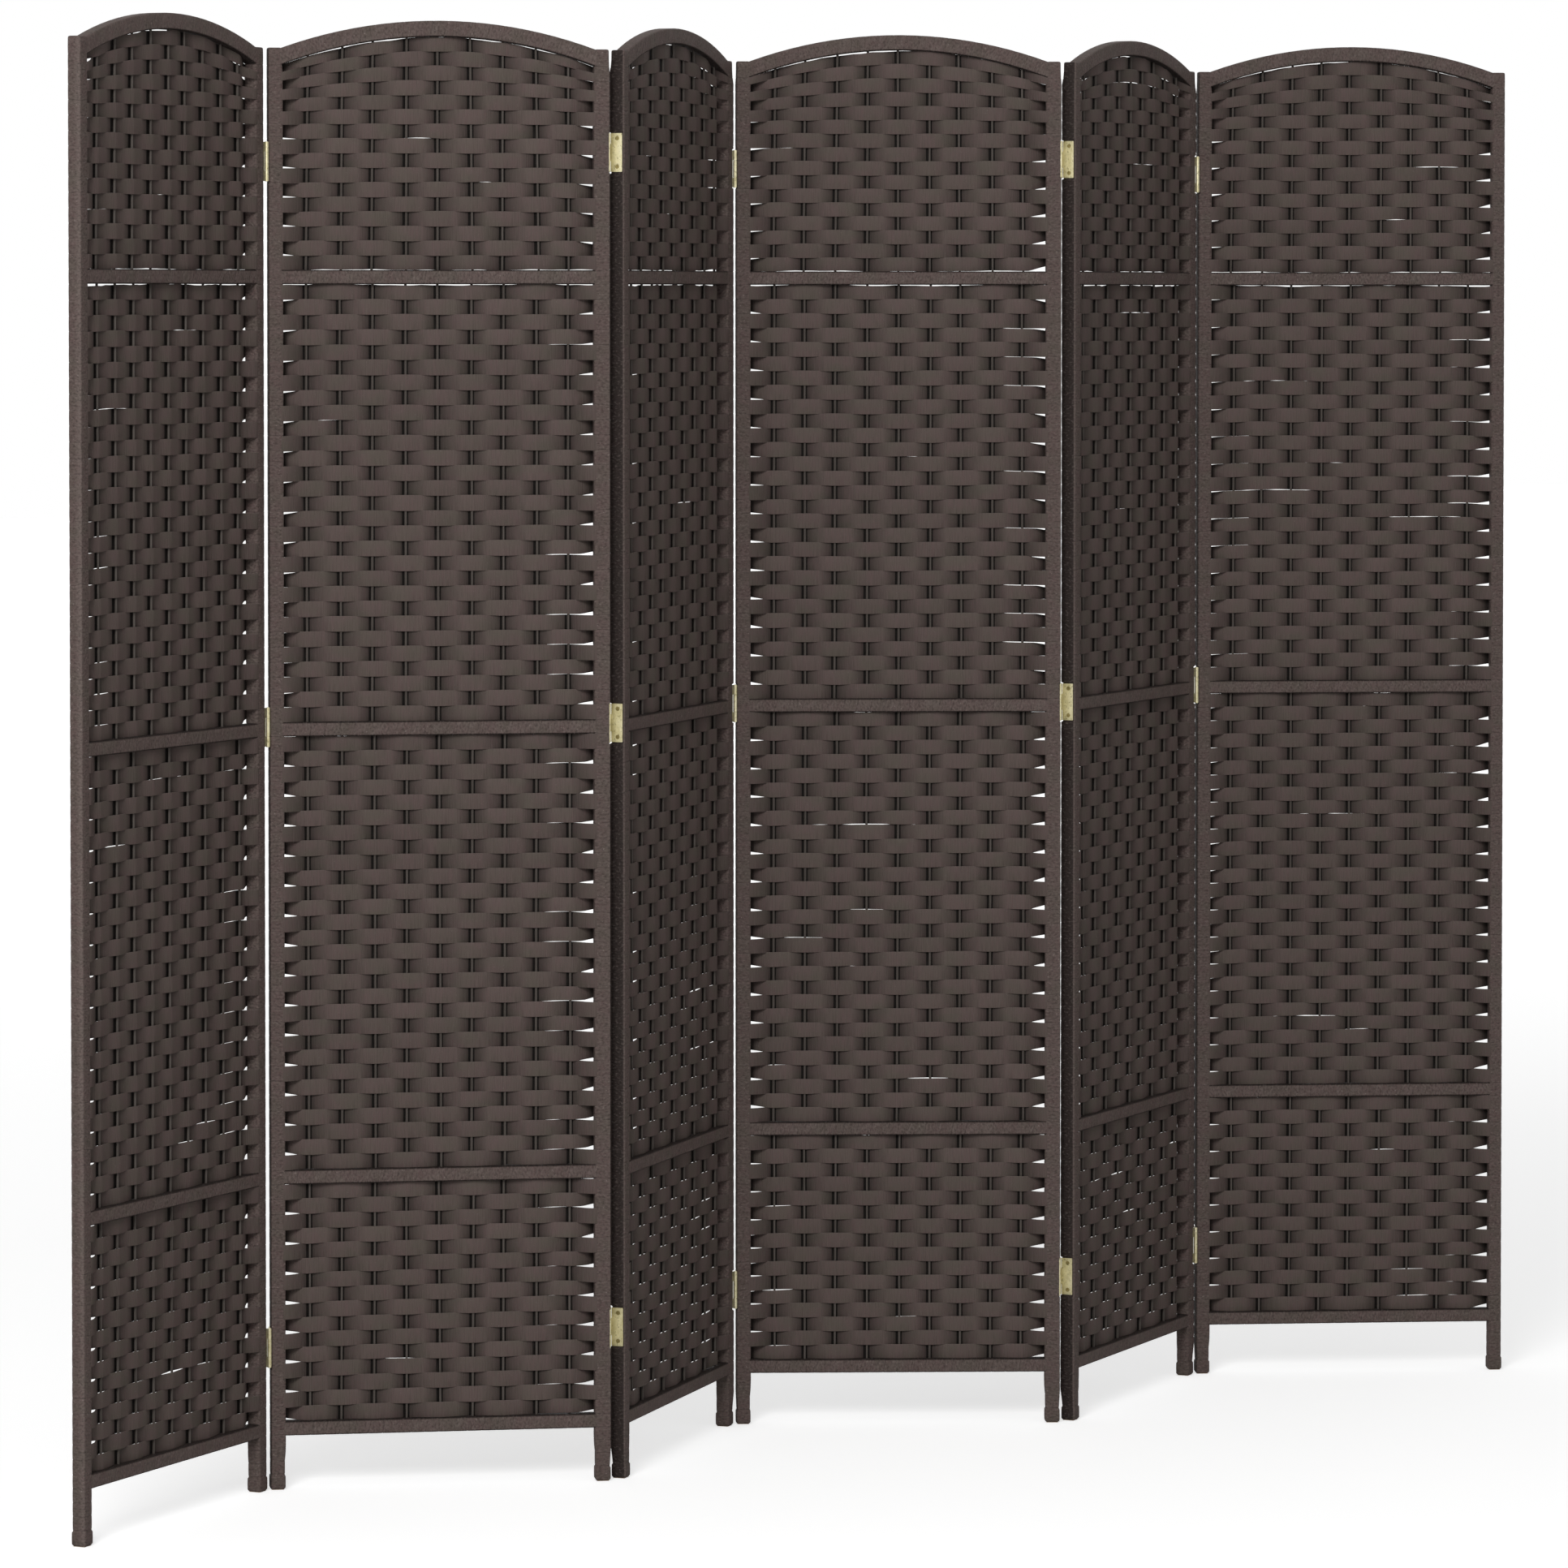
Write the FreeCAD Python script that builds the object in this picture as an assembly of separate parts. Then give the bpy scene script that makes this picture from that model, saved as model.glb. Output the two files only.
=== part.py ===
import FreeCAD, Part
import math
import os

from FreeCAD import Placement, Rotation, Vector

# Folding privacy screen: six framed panels of woven fibre strip, joined by brass butt hinges.
# Millimetres. +X runs along the standing screen, -Y is its front and +Z is up.
# The origin is on the floor, under the middle of the screen.
# Each panel is built in its own frame: x along the panel from its left end, y = 0 at mid depth.

# Overall sizes
panel_width = 396.0
post_height = 1668.0
arch_rise = 32.0

# Wooden posts and rails, bare sections
post_core_width = 14.0
post_core_depth = 14.0
rail_core_height = 14.0
rail_core_depth = 14.0
arch_core_height = 16.0
tenon_length = 9.0
tenon_height = 8.0
tenon_depth = 8.0
tenon_clearance = 0.1

# Heights of the cross rails' middles above the floor
bottom_rail_height = 71.0
lower_rail_height = 363.0
middle_rail_height = 882.0
upper_rail_height = 1404.0

# Fibre wrap round the posts and rails
wrap_thickness = 1.2
wrap_window_clearance = 0.2
wrap_floor_gap = 0.5
foot_band_height = 16.0
foot_band_thickness = 0.8
foot_band_chamfer = 0.7

# Upright stakes, which stand in drilled rails
stake_radius = 1.5
stake_pitch = 38.0
stakes_per_panel = 9
stake_seat_depth = 8.0
stake_hole_clearance = 0.1
stake_end_gap = 0.5

# Woven strips
strip_thickness = 1.2
strip_gap = 0.5
strip_stake_clearance = 0.25
strip_end_clearance = 0.2
strip_end_offset = 6.0
shortest_strip = 60.0
bottom_zone_rows = 16
lower_zone_rows = 29
upper_zone_rows = 29
arch_zone_rows = 16

# Which side of the first stake each zone's lowest strip passes: 1 is behind it, -1 in front of it
bottom_zone_first_side = -1
lower_zone_first_side = 1
upper_zone_first_side = 1
arch_zone_first_side = -1

# Butt hinges
hinge_height = 45.0
leaf_thickness = 1.2
leaf_edge_margin = 2.2
leaf_corner_radius = 0.8
closed_leaf_gap = 0.6
barrel_radius = 2.5
barrel_standoff = 0.1
middle_knuckle_height = 21.0
knuckle_end_clearance = 0.3
knuckle_side_clearance = 0.4
pin_radius = 1.2
pin_clearance = 0.05
pin_head_radius = 1.8
pin_head_thickness = 0.5

# Heights of the hinges' middles above the floor, and how far the top and bottom ones are staggered
bottom_hinge_height = 172.0
middle_hinge_height = 885.0
top_hinge_height = 1543.0
hinge_stagger = 6.0

# Countersunk wood screws
screw_spacing = 33.0
screw_length = 12.0
screw_shank_radius = 1.3
screw_tip_length = 2.5
screw_tip_radius = 0.3
screw_clearance = 0.05
screw_slot_width = 0.6
screw_slot_depth = 0.5
screw_slot_length = 3.0
pilot_hole_extra_depth = 0.5

# How the screen stands: each panel's turn from the run of the screen, in degrees, left to right
panel_turns = (28.0, -27.0, 36.0, -34.0, 29.0, -31.0)

# One overrun for cuts that pass right through
cut_overrun = 5.0

# Derived sizes
post_width = post_core_width + 2 * wrap_thickness
post_depth = post_core_depth + 2 * wrap_thickness
rail_height = rail_core_height + 2 * wrap_thickness
rail_depth = rail_core_depth + 2 * wrap_thickness
arch_height = arch_core_height + 2 * wrap_thickness
apex_height = post_height + arch_rise
post_core_height = post_height - wrap_thickness
inner_left = post_width
inner_right = panel_width - post_width
core_inner_left = post_width - wrap_thickness
core_inner_right = panel_width - core_inner_left
half_span = panel_width / 2 - post_width
arch_radius = (half_span ** 2 + arch_rise ** 2) / (2 * arch_rise)
arch_centre_height = apex_height - arch_radius
leaf_gap = 2 * leaf_thickness + closed_leaf_gap
pin_reach = post_depth / 2 + barrel_radius + barrel_standoff
leaf_width = pin_reach + post_depth / 2 - leaf_edge_margin
screw_head_radius = screw_shank_radius + leaf_thickness
strip_offset = stake_radius + strip_stake_clearance + strip_thickness / 2
cross_rail_heights = (
    bottom_rail_height,
    lower_rail_height,
    middle_rail_height,
    upper_rail_height,
)
first_stake = (panel_width - (stakes_per_panel - 1) * stake_pitch) / 2
stake_places = [first_stake + n * stake_pitch for n in range(stakes_per_panel)]
panel_count = len(panel_turns)


def box(x_range, y_range, z_range):
    """A box between two values on each axis."""
    size = (x_range[1] - x_range[0], y_range[1] - y_range[0], z_range[1] - z_range[0])
    return Part.makeBox(*size, Vector(x_range[0], y_range[0], z_range[0]))


def centred(width):
    """A range of this width round zero."""
    return (-width / 2, width / 2)


def around(middle, width):
    """A range of this width round a middle."""
    return (middle - width / 2, middle + width / 2)


def upright_rod(x, radius, z_range):
    """A vertical rod on the panel's mid plane."""
    return Part.makeCylinder(radius, z_range[1] - z_range[0], Vector(x, 0, z_range[0]))


def arch_band(outer_radius, inner_radius, depth, x_range):
    """A bent bar round the arch's centre, cut off square at two places along the panel."""
    centre = Vector(panel_width / 2, -depth / 2, arch_centre_height)
    forward = Vector(0, 1, 0)
    outer = Part.makeCylinder(outer_radius, depth, centre, forward)
    inner = Part.makeCylinder(inner_radius, depth, centre, forward)
    keep = box(x_range, centred(depth), (arch_centre_height, apex_height + cut_overrun))
    return outer.cut(inner).common(keep).Solids[0]


def arch_underside(radius, x):
    """Height of an arc of this radius round the arch's centre, at a place along the panel."""
    return arch_centre_height + math.sqrt(radius ** 2 - (x - panel_width / 2) ** 2)


arch_core_outer = arch_radius - wrap_thickness
arch_core_inner = arch_core_outer - arch_core_height
arch_inner = arch_radius - arch_height
arch_end_top = arch_underside(arch_core_outer, core_inner_left)
arch_end_bottom = arch_underside(arch_core_inner, core_inner_left)
arch_end_middle = (arch_end_top + arch_end_bottom) / 2
bottom_seat = bottom_rail_height + rail_core_height / 2 - stake_seat_depth


def stake_top(x):
    """Height of a stake's top end, inside the arch."""
    return arch_underside(arch_core_inner, x) + stake_seat_depth


def stake_holes():
    """Rods that cut the stakes' holes in the rails, the arch and their wraps."""
    radius = stake_radius + stake_hole_clearance
    return [
        upright_rod(x, radius, (bottom_seat - stake_end_gap, stake_top(x) + stake_end_gap))
        for x in stake_places
    ]


def tenons(height):
    """The two tenons at a rail's ends, at one height."""
    left = (core_inner_left - tenon_length, core_inner_left)
    right = (core_inner_right, core_inner_right + tenon_length)
    section = (centred(tenon_depth), around(height, tenon_height))
    return [box(left, *section), box(right, *section)]


def cross_rail(height, drills):
    """A straight rail core with a tenon at each end, drilled for the stakes."""
    length = (core_inner_left, core_inner_right)
    bar = box(length, centred(rail_core_depth), around(height, rail_core_height))
    return bar.multiFuse(tenons(height)).removeSplitter().cut(drills).Solids[0]


def arched_rail(drills):
    """The bent top rail's core, with a tenon at each end, drilled from below for the stakes."""
    length = (core_inner_left, core_inner_right)
    bar = arch_band(arch_core_outer, arch_core_inner, rail_core_depth, length)
    return bar.multiFuse(tenons(arch_end_middle)).cut(drills).Solids[0]


def rails():
    """All five rail cores of a panel."""
    drills = stake_holes()
    return [cross_rail(height, drills) for height in cross_rail_heights] + [arched_rail(drills)]


def hinge_heights(pins_in_front):
    """Heights of a joint's three hinges. With the pins in front, the top and bottom ones sit lower."""
    shift = -hinge_stagger if pins_in_front else hinge_stagger
    return (bottom_hinge_height + shift, middle_hinge_height, top_hinge_height + shift)


def screw_heights(pins_in_front):
    """Heights of the six screws on one end of a panel."""
    half = screw_spacing / 2
    return [middle + side for middle in hinge_heights(pins_in_front) for side in (-half, half)]


def pilot_holes(ends):
    """Rods that cut the screws' holes. ends holds (which end, whether its pins are in front)."""
    depth = screw_length + pilot_hole_extra_depth - leaf_thickness
    radius = screw_shank_radius + screw_clearance
    holes = []
    for end, pins_in_front in ends:
        x = 0 if end == "left" else panel_width
        inward = Vector(1 if end == "left" else -1, 0, 0)
        start = Vector(x, 0, 0) - inward * cut_overrun
        for height in screw_heights(pins_in_front):
            mouth = start + Vector(0, 0, height)
            holes.append(Part.makeCylinder(radius, depth + cut_overrun, mouth, inward))
    return holes


def mortises(x_range):
    """Boxes that cut a post's mortises."""
    depth = centred(tenon_depth + 2 * tenon_clearance)
    height = tenon_height + 2 * tenon_clearance
    places = cross_rail_heights + (arch_end_middle,)
    return [box(x_range, depth, around(place, height)) for place in places]


def post(end, holes):
    """One post's wooden core, with mortises for the rails and pilot holes for the hinge screws."""
    reach = tenon_length + tenon_clearance
    if end == "left":
        x_range = (wrap_thickness, core_inner_left)
        mortise_range = (core_inner_left - reach, core_inner_left + cut_overrun)
    else:
        x_range = (core_inner_right, panel_width - wrap_thickness)
        mortise_range = (core_inner_right - cut_overrun, core_inner_right + reach)
    core = box(x_range, centred(post_core_depth), (0, post_core_height))
    return core.cut(mortises(mortise_range) + holes).Solids[0]


def foot_band(x_range):
    """The last turns of wrap round a foot, slightly proud of the rest, with chamfered edges."""
    grown = (x_range[0] - foot_band_thickness, x_range[1] + foot_band_thickness)
    depth = centred(post_depth + 2 * foot_band_thickness)
    block = box(grown, depth, (wrap_floor_gap, wrap_floor_gap + foot_band_height))
    return block.makeChamfer(foot_band_chamfer, block.Edges)


def post_wrap(end, holes):
    """The fibre sleeve of one post, closed over its top and open where the rails enter."""
    x_range = (0, post_width) if end == "left" else (inner_right, panel_width)
    core_range = (x_range[0] + wrap_thickness, x_range[1] - wrap_thickness)
    sleeve = box(x_range, centred(post_depth), (wrap_floor_gap, post_height))
    sleeve = sleeve.fuse(foot_band(x_range))
    sleeve = sleeve.cut(box(core_range, centred(post_core_depth), (-cut_overrun, post_core_height)))
    inner_wall = (
        (x_range[1] - wrap_thickness, x_range[1] + cut_overrun)
        if end == "left"
        else (x_range[0] - cut_overrun, x_range[0] + wrap_thickness)
    )
    depth = centred(rail_core_depth + 2 * wrap_window_clearance)
    height = rail_core_height + 2 * wrap_window_clearance
    windows = [box(inner_wall, depth, around(place, height)) for place in cross_rail_heights]
    arch_low = arch_end_bottom - wrap_window_clearance
    arch_high = arch_underside(arch_core_outer, inner_left) + wrap_window_clearance
    windows.append(box(inner_wall, depth, (arch_low, arch_high)))
    return sleeve.cut(windows + holes).Solids[0]


def rail_wraps():
    """The fibre sleeves of the four cross rails and of the arch."""
    drills = stake_holes()
    length = (inner_left, inner_right)
    sleeves = []
    for height in cross_rail_heights:
        sleeve = box(length, centred(rail_depth), around(height, rail_height))
        core = box(length, centred(rail_core_depth), around(height, rail_core_height))
        sleeves.append(sleeve.cut(core).cut(drills).Solids[0])
    arch = arch_band(arch_radius, arch_inner, rail_depth, length)
    arch_core = arch_band(arch_core_outer, arch_core_inner, rail_core_depth, length)
    sleeves.append(arch.cut(arch_core).cut(drills).Solids[0])
    return sleeves


def stakes():
    """The upright rods that the strips are woven round."""
    return [upright_rod(x, stake_radius, (bottom_seat, stake_top(x))) for x in stake_places]


def strip_path(low_x, high_x, first_side):
    """Centre line of one woven strip in plan, passing the stakes on alternate sides."""
    ends = (inner_left + strip_end_clearance, inner_right - strip_end_clearance)
    side = first_side
    points = [(ends[0], -side * strip_end_offset)]
    for x in stake_places:
        points.append((x, side * strip_offset))
        side = -side
    points.append((ends[1], side * strip_end_offset))
    return clipped_path(points, low_x, high_x)


def clipped_path(points, low_x, high_x):
    """The stretch of a path between two places along the panel."""
    kept = []
    for (x, y), (next_x, next_y) in zip(points, points[1:]):
        steps = [(x, y)]
        for limit in (low_x, high_x):
            if x < limit < next_x:
                share = (limit - x) / (next_x - x)
                steps.append((limit, y + share * (next_y - y)))
        kept += [step for step in steps if low_x <= step[0] <= high_x]
    if points[-1][0] <= high_x:
        kept.append(points[-1])
    return kept


def strip(path, z_range):
    """One flat strip, folded along its path."""
    half = strip_thickness / 2
    front = [Vector(x, y - half, z_range[0]) for x, y in path]
    back = [Vector(x, y + half, z_range[0]) for x, y in reversed(path)]
    outline = Part.makePolygon(front + back + front[:1])
    return Part.Face(outline).extrude(Vector(0, 0, z_range[1] - z_range[0]))


def row_span(top):
    """How far a row reaches along the panel under the arch, as (low x, high x), or None."""
    level = max(top + strip_gap - arch_centre_height, 0)
    if level >= arch_inner:
        return None
    reach = math.sqrt(arch_inner ** 2 - level ** 2)
    low_x = max(panel_width / 2 - reach, inner_left + strip_end_clearance)
    high_x = panel_width - low_x
    return (low_x, high_x) if high_x - low_x > shortest_strip else None


def weave():
    """Every woven strip of a panel, zone by zone from the bottom."""
    half = rail_height / 2
    floors = [height + half for height in cross_rail_heights]
    ceilings = [height - half for height in cross_rail_heights[1:]] + [apex_height - arch_height]
    rows = (bottom_zone_rows, lower_zone_rows, upper_zone_rows, arch_zone_rows)
    first_sides = (
        bottom_zone_first_side,
        lower_zone_first_side,
        upper_zone_first_side,
        arch_zone_first_side,
    )
    strips = []
    for floor, ceiling, count, side in zip(floors, ceilings, rows, first_sides):
        pitch = (ceiling - floor) / count
        for row in range(count):
            middle = floor + (row + 1 / 2) * pitch
            z_range = around(middle, pitch - strip_gap)
            span = row_span(z_range[1])
            if span:
                strips.append(strip(strip_path(*span, side), z_range))
            side = -side
    return strips


def screw():
    """A countersunk screw with its head's face at x = 0, pointing along +X."""
    along = Vector(1, 0, 0)
    shank_length = screw_length - leaf_thickness - screw_tip_length
    head = Part.makeCone(screw_head_radius, screw_shank_radius, leaf_thickness, Vector(), along)
    start = Vector(leaf_thickness, 0, 0)
    shank = Part.makeCylinder(screw_shank_radius, shank_length, start, along)
    tip_start = start + along * shank_length
    tip = Part.makeCone(screw_shank_radius, screw_tip_radius, screw_tip_length, tip_start, along)
    depth = (-cut_overrun, screw_slot_depth)
    slots = [
        box(depth, centred(screw_slot_width), centred(screw_slot_length)),
        box(depth, centred(screw_slot_length), centred(screw_slot_width)),
    ]
    return head.multiFuse([shank, tip]).cut(slots).Solids[0]


def hinge_screws(ends):
    """All the hinge screws of one panel, in the panel's frame."""
    placed = []
    pattern = screw()
    for end, pins_in_front in ends:
        for height in screw_heights(pins_in_front):
            if end == "left":
                place = Placement(Vector(-leaf_thickness, 0, height), Rotation())
            else:
                turn = Rotation(Vector(0, 0, 1), 180)
                place = Placement(Vector(panel_width + leaf_thickness, 0, height), turn)
            placed.append(moved(pattern, place))
    return placed


def moved(shape, place):
    """A copy of a shape at a placement."""
    copy = shape.copy()
    copy.Placement = place.multiply(copy.Placement)
    return copy


def knuckle_ranges(outer):
    """Height ranges of a leaf's knuckles, from the middle of the hinge."""
    half = middle_knuckle_height / 2
    if not outer:
        return [(-half + knuckle_end_clearance, half - knuckle_end_clearance)]
    return [(-hinge_height / 2, -half), (half, hinge_height / 2)]


def leaf(outer):
    """The leaf on the end face at x = -leaf_gap / 2, with its pin axis on Z and the back at +Y.

    An outer leaf has the top and bottom knuckles, the other has the middle one.
    """
    face = -leaf_gap / 2
    height = centred(hinge_height)
    plate = box((face, face + leaf_thickness), (0, leaf_width), height)
    far_corners = [
        e
        for e in plate.Edges
        if abs(e.Vertexes[0].X - e.Vertexes[1].X) > leaf_thickness / 2
        and e.Vertexes[0].Y > leaf_width / 2
    ]
    plate = plate.makeFillet(leaf_corner_radius, far_corners)
    mine = knuckle_ranges(outer)
    wide = barrel_radius + knuckle_side_clearance
    notches = []
    for low, high in free_ranges(outer):
        notches.append(Part.makeCylinder(wide, high - low, Vector(0, 0, low)))
    plate = plate.cut(notches)
    barrels = [Part.makeCylinder(barrel_radius, high - low, Vector(0, 0, low)) for low, high in mine]
    bore = Part.makeCylinder(
        pin_radius + pin_clearance,
        hinge_height + 2 * cut_overrun,
        Vector(0, 0, -hinge_height / 2 - cut_overrun),
    )
    rolled = plate.multiFuse(barrels).cut(bore)
    countersink = countersunk_hole()
    seats = [Placement(Vector(0, pin_reach, z), Rotation()) for z in centred(screw_spacing)]
    holes = [moved(countersink, seat) for seat in seats]
    return rolled.cut(holes).Solids[0]


def free_ranges(outer):
    """Height ranges where the other leaf's knuckles turn."""
    half = middle_knuckle_height / 2
    if outer:
        return [(-half, half)]
    edge = half - knuckle_end_clearance
    return [(-hinge_height / 2 - cut_overrun, -edge), (edge, hinge_height / 2 + cut_overrun)]


def countersunk_hole():
    """The cone that cuts a screw's seat through a leaf, on the leaf at x = -leaf_gap / 2."""
    outside = Vector(-leaf_gap / 2 + leaf_thickness, 0, 0)
    inward = Vector(-1, 0, 0)
    wide = screw_head_radius + screw_clearance
    narrow = screw_shank_radius + screw_clearance
    seat = Part.makeCone(wide, narrow, leaf_thickness, outside, inward)
    through = Part.makeCylinder(narrow, leaf_thickness + cut_overrun, outside, inward)
    return seat.fuse(through)


def hinge_pin():
    """A hinge pin with a small peened head at each end."""
    end = hinge_height / 2
    shank = Part.makeCylinder(pin_radius, hinge_height, Vector(0, 0, -end))
    heads = [
        Part.makeCylinder(pin_head_radius, pin_head_thickness, Vector(0, 0, end)),
        Part.makeCylinder(pin_head_radius, pin_head_thickness, Vector(0, 0, -end - pin_head_thickness)),
    ]
    return shank.multiFuse(heads).Solids[0]


def hinge_set(shape, on_left_panel, pins_in_front):
    """Three copies of a hinge piece at one joint, in the frame of the panel that carries them."""
    across = Vector(1, 0, 0)
    upward = Vector(0, 0, 1)
    flip = Rotation() if pins_in_front else Rotation(across, 180)
    if not on_left_panel:
        flip = Rotation(upward, 180).multiply(Rotation(across, 180)).multiply(flip)
    x = panel_width + leaf_gap / 2 if on_left_panel else -leaf_gap / 2
    y = -pin_reach if pins_in_front else pin_reach
    heights = hinge_heights(pins_in_front)
    return [moved(shape, Placement(Vector(x, y, z), flip)) for z in heights]


def pins_in_front(joint):
    """Joints fold towards the front and the back in turn, starting with the front."""
    return joint % 2 == 0


def panel_ends(panel):
    """The hinged ends of a panel, as (which end, whether its pins are in front)."""
    ends = []
    if panel > 0:
        ends.append(("left", pins_in_front(panel - 1)))
    if panel < panel_count - 1:
        ends.append(("right", pins_in_front(panel)))
    return ends


def pin_places(panel):
    """Where the pins of a panel's left and right joints stand in its frame, at floor level."""
    left = -pin_reach if pins_in_front(panel - 1) else pin_reach
    right = -pin_reach if pins_in_front(panel) else pin_reach
    return Vector(-leaf_gap / 2, left, 0), Vector(panel_width + leaf_gap / 2, right, 0)


def standing_places():
    """Each panel's placement, chained from hinge pin to hinge pin."""
    places = []
    pin = Vector()
    for panel, turn in enumerate(panel_turns):
        rotation = Rotation(Vector(0, 0, 1), turn)
        left_pin, right_pin = pin_places(panel)
        start = pin - rotation.multVec(left_pin)
        places.append(Placement(start, rotation))
        pin = start + rotation.multVec(right_pin)
    return places


def panel_nodes(panel, shared):
    """The solids of one panel by node name, in the panel's frame."""
    ends = panel_ends(panel)
    left_holes = pilot_holes([end for end in ends if end[0] == "left"])
    right_holes = pilot_holes([end for end in ends if end[0] == "right"])
    name = f"panel_{panel + 1}"
    wraps = [post_wrap("left", left_holes), post_wrap("right", right_holes)]
    return {
        f"{name}_left_post": [post("left", left_holes)],
        f"{name}_right_post": [post("right", right_holes)],
        f"{name}_rails": shared["rails"],
        f"{name}_frame_wraps": wraps + shared["rail_wraps"],
        f"{name}_stakes": shared["stakes"],
        f"{name}_weave": shared["weave"],
        f"{name}_hinge_screws": hinge_screws(ends),
    }


def build():
    """Every node of the standing screen, as lists of placed solids."""
    shared = {"rails": rails(), "rail_wraps": rail_wraps(), "stakes": stakes(), "weave": weave()}
    outer_leaf = leaf(True)
    inner_leaf = leaf(False)
    pin = hinge_pin()
    places = standing_places()
    nodes = {}
    for panel, place in enumerate(places):
        for name, solids in panel_nodes(panel, shared).items():
            nodes[name] = [moved(solid, place) for solid in solids]
    for joint in range(panel_count - 1):
        front = pins_in_front(joint)
        name = f"hinge_{joint + 1}_{joint + 2}"
        left, right = places[joint], places[joint + 1]
        sets = (
            ("outer_leaves", hinge_set(outer_leaf, True, front), left),
            ("inner_leaves", hinge_set(inner_leaf, False, front), right),
            ("pins", hinge_set(pin, True, front), left),
        )
        for piece, solids, place in sets:
            nodes[f"{name}_{piece}"] = [moved(solid, place) for solid in solids]
    return nodes, places


def export(nodes, places):
    """Centre the screen over the origin, write one file per node and print what was written."""
    os.makedirs("parts", exist_ok=True)
    everything = Part.Compound([solid for solids in nodes.values() for solid in solids])
    extent = everything.BoundBox
    centre = Placement(Vector(-extent.Center.x, -extent.Center.y, 0), Rotation())
    for name, solids in nodes.items():
        Part.Compound([moved(solid, centre) for solid in solids]).exportStep(f"parts/{name}.step")
        volume = sum(solid.Volume for solid in solids)
        sound = all(solid.isValid() for solid in solids)
        print(f"{name}: {len(solids)} solids, {volume:.0f} mm3, valid {sound}")
    print(f"overall {extent.XLength:.2f} x {extent.YLength:.2f} x {extent.ZLength:.2f} mm")
    for joint, place in enumerate(places[:-1]):
        point = centre.multVec(place.multVec(pin_places(joint)[1]))
        print(f"hinge axis {joint + 1}_{joint + 2}: x {point.x:.6f} y {point.y:.6f}")
    foot = centre.multVec(places[2].multVec(Vector(post_width / 2, 0, 0)))
    print(f"middle of panel 3's left foot: x {foot.x:.6f} y {foot.y:.6f}")


export(*build())
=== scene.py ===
"""A folding privacy screen in its finishes: woven fibre panels, wound frames and brass hinges."""

import logging
import math
from dataclasses import dataclass
from enum import Enum

import bpy
import numpy as np
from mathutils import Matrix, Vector


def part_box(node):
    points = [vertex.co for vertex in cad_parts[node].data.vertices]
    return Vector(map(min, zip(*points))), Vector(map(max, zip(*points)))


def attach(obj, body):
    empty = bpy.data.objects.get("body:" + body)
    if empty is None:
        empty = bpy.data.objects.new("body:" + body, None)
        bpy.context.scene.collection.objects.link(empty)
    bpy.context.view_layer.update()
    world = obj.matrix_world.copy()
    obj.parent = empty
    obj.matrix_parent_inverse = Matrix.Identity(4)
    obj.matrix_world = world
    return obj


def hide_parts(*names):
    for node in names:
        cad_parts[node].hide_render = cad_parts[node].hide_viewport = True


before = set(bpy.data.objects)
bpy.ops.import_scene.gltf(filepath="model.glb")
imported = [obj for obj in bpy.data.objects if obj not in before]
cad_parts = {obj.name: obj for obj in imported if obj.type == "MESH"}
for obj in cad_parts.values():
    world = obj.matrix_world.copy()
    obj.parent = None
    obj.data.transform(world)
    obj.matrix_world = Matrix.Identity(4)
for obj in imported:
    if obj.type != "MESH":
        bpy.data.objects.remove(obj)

LOG = logging.getLogger("screen")
MM = 0.001

Array = np.ndarray
Material = bpy.types.Material
Piece = bpy.types.Object
Socket = bpy.types.NodeSocket
Triple = tuple[float, float, float]
Span = tuple[float, float]
Fade = tuple[Span, Span]
Pair = tuple[Array, Array]
Value = Socket | float | tuple[float, ...]
Inputs = dict[str | int, Value]


class Passing(Enum):
    """Which side of a stake or a post a strip passes, as the sign of its depth."""

    IN_FRONT = -1
    BEHIND = 1


class PostEnd(Enum):
    """The two upright posts of a panel."""

    LEFT = "left"
    RIGHT = "right"


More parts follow.
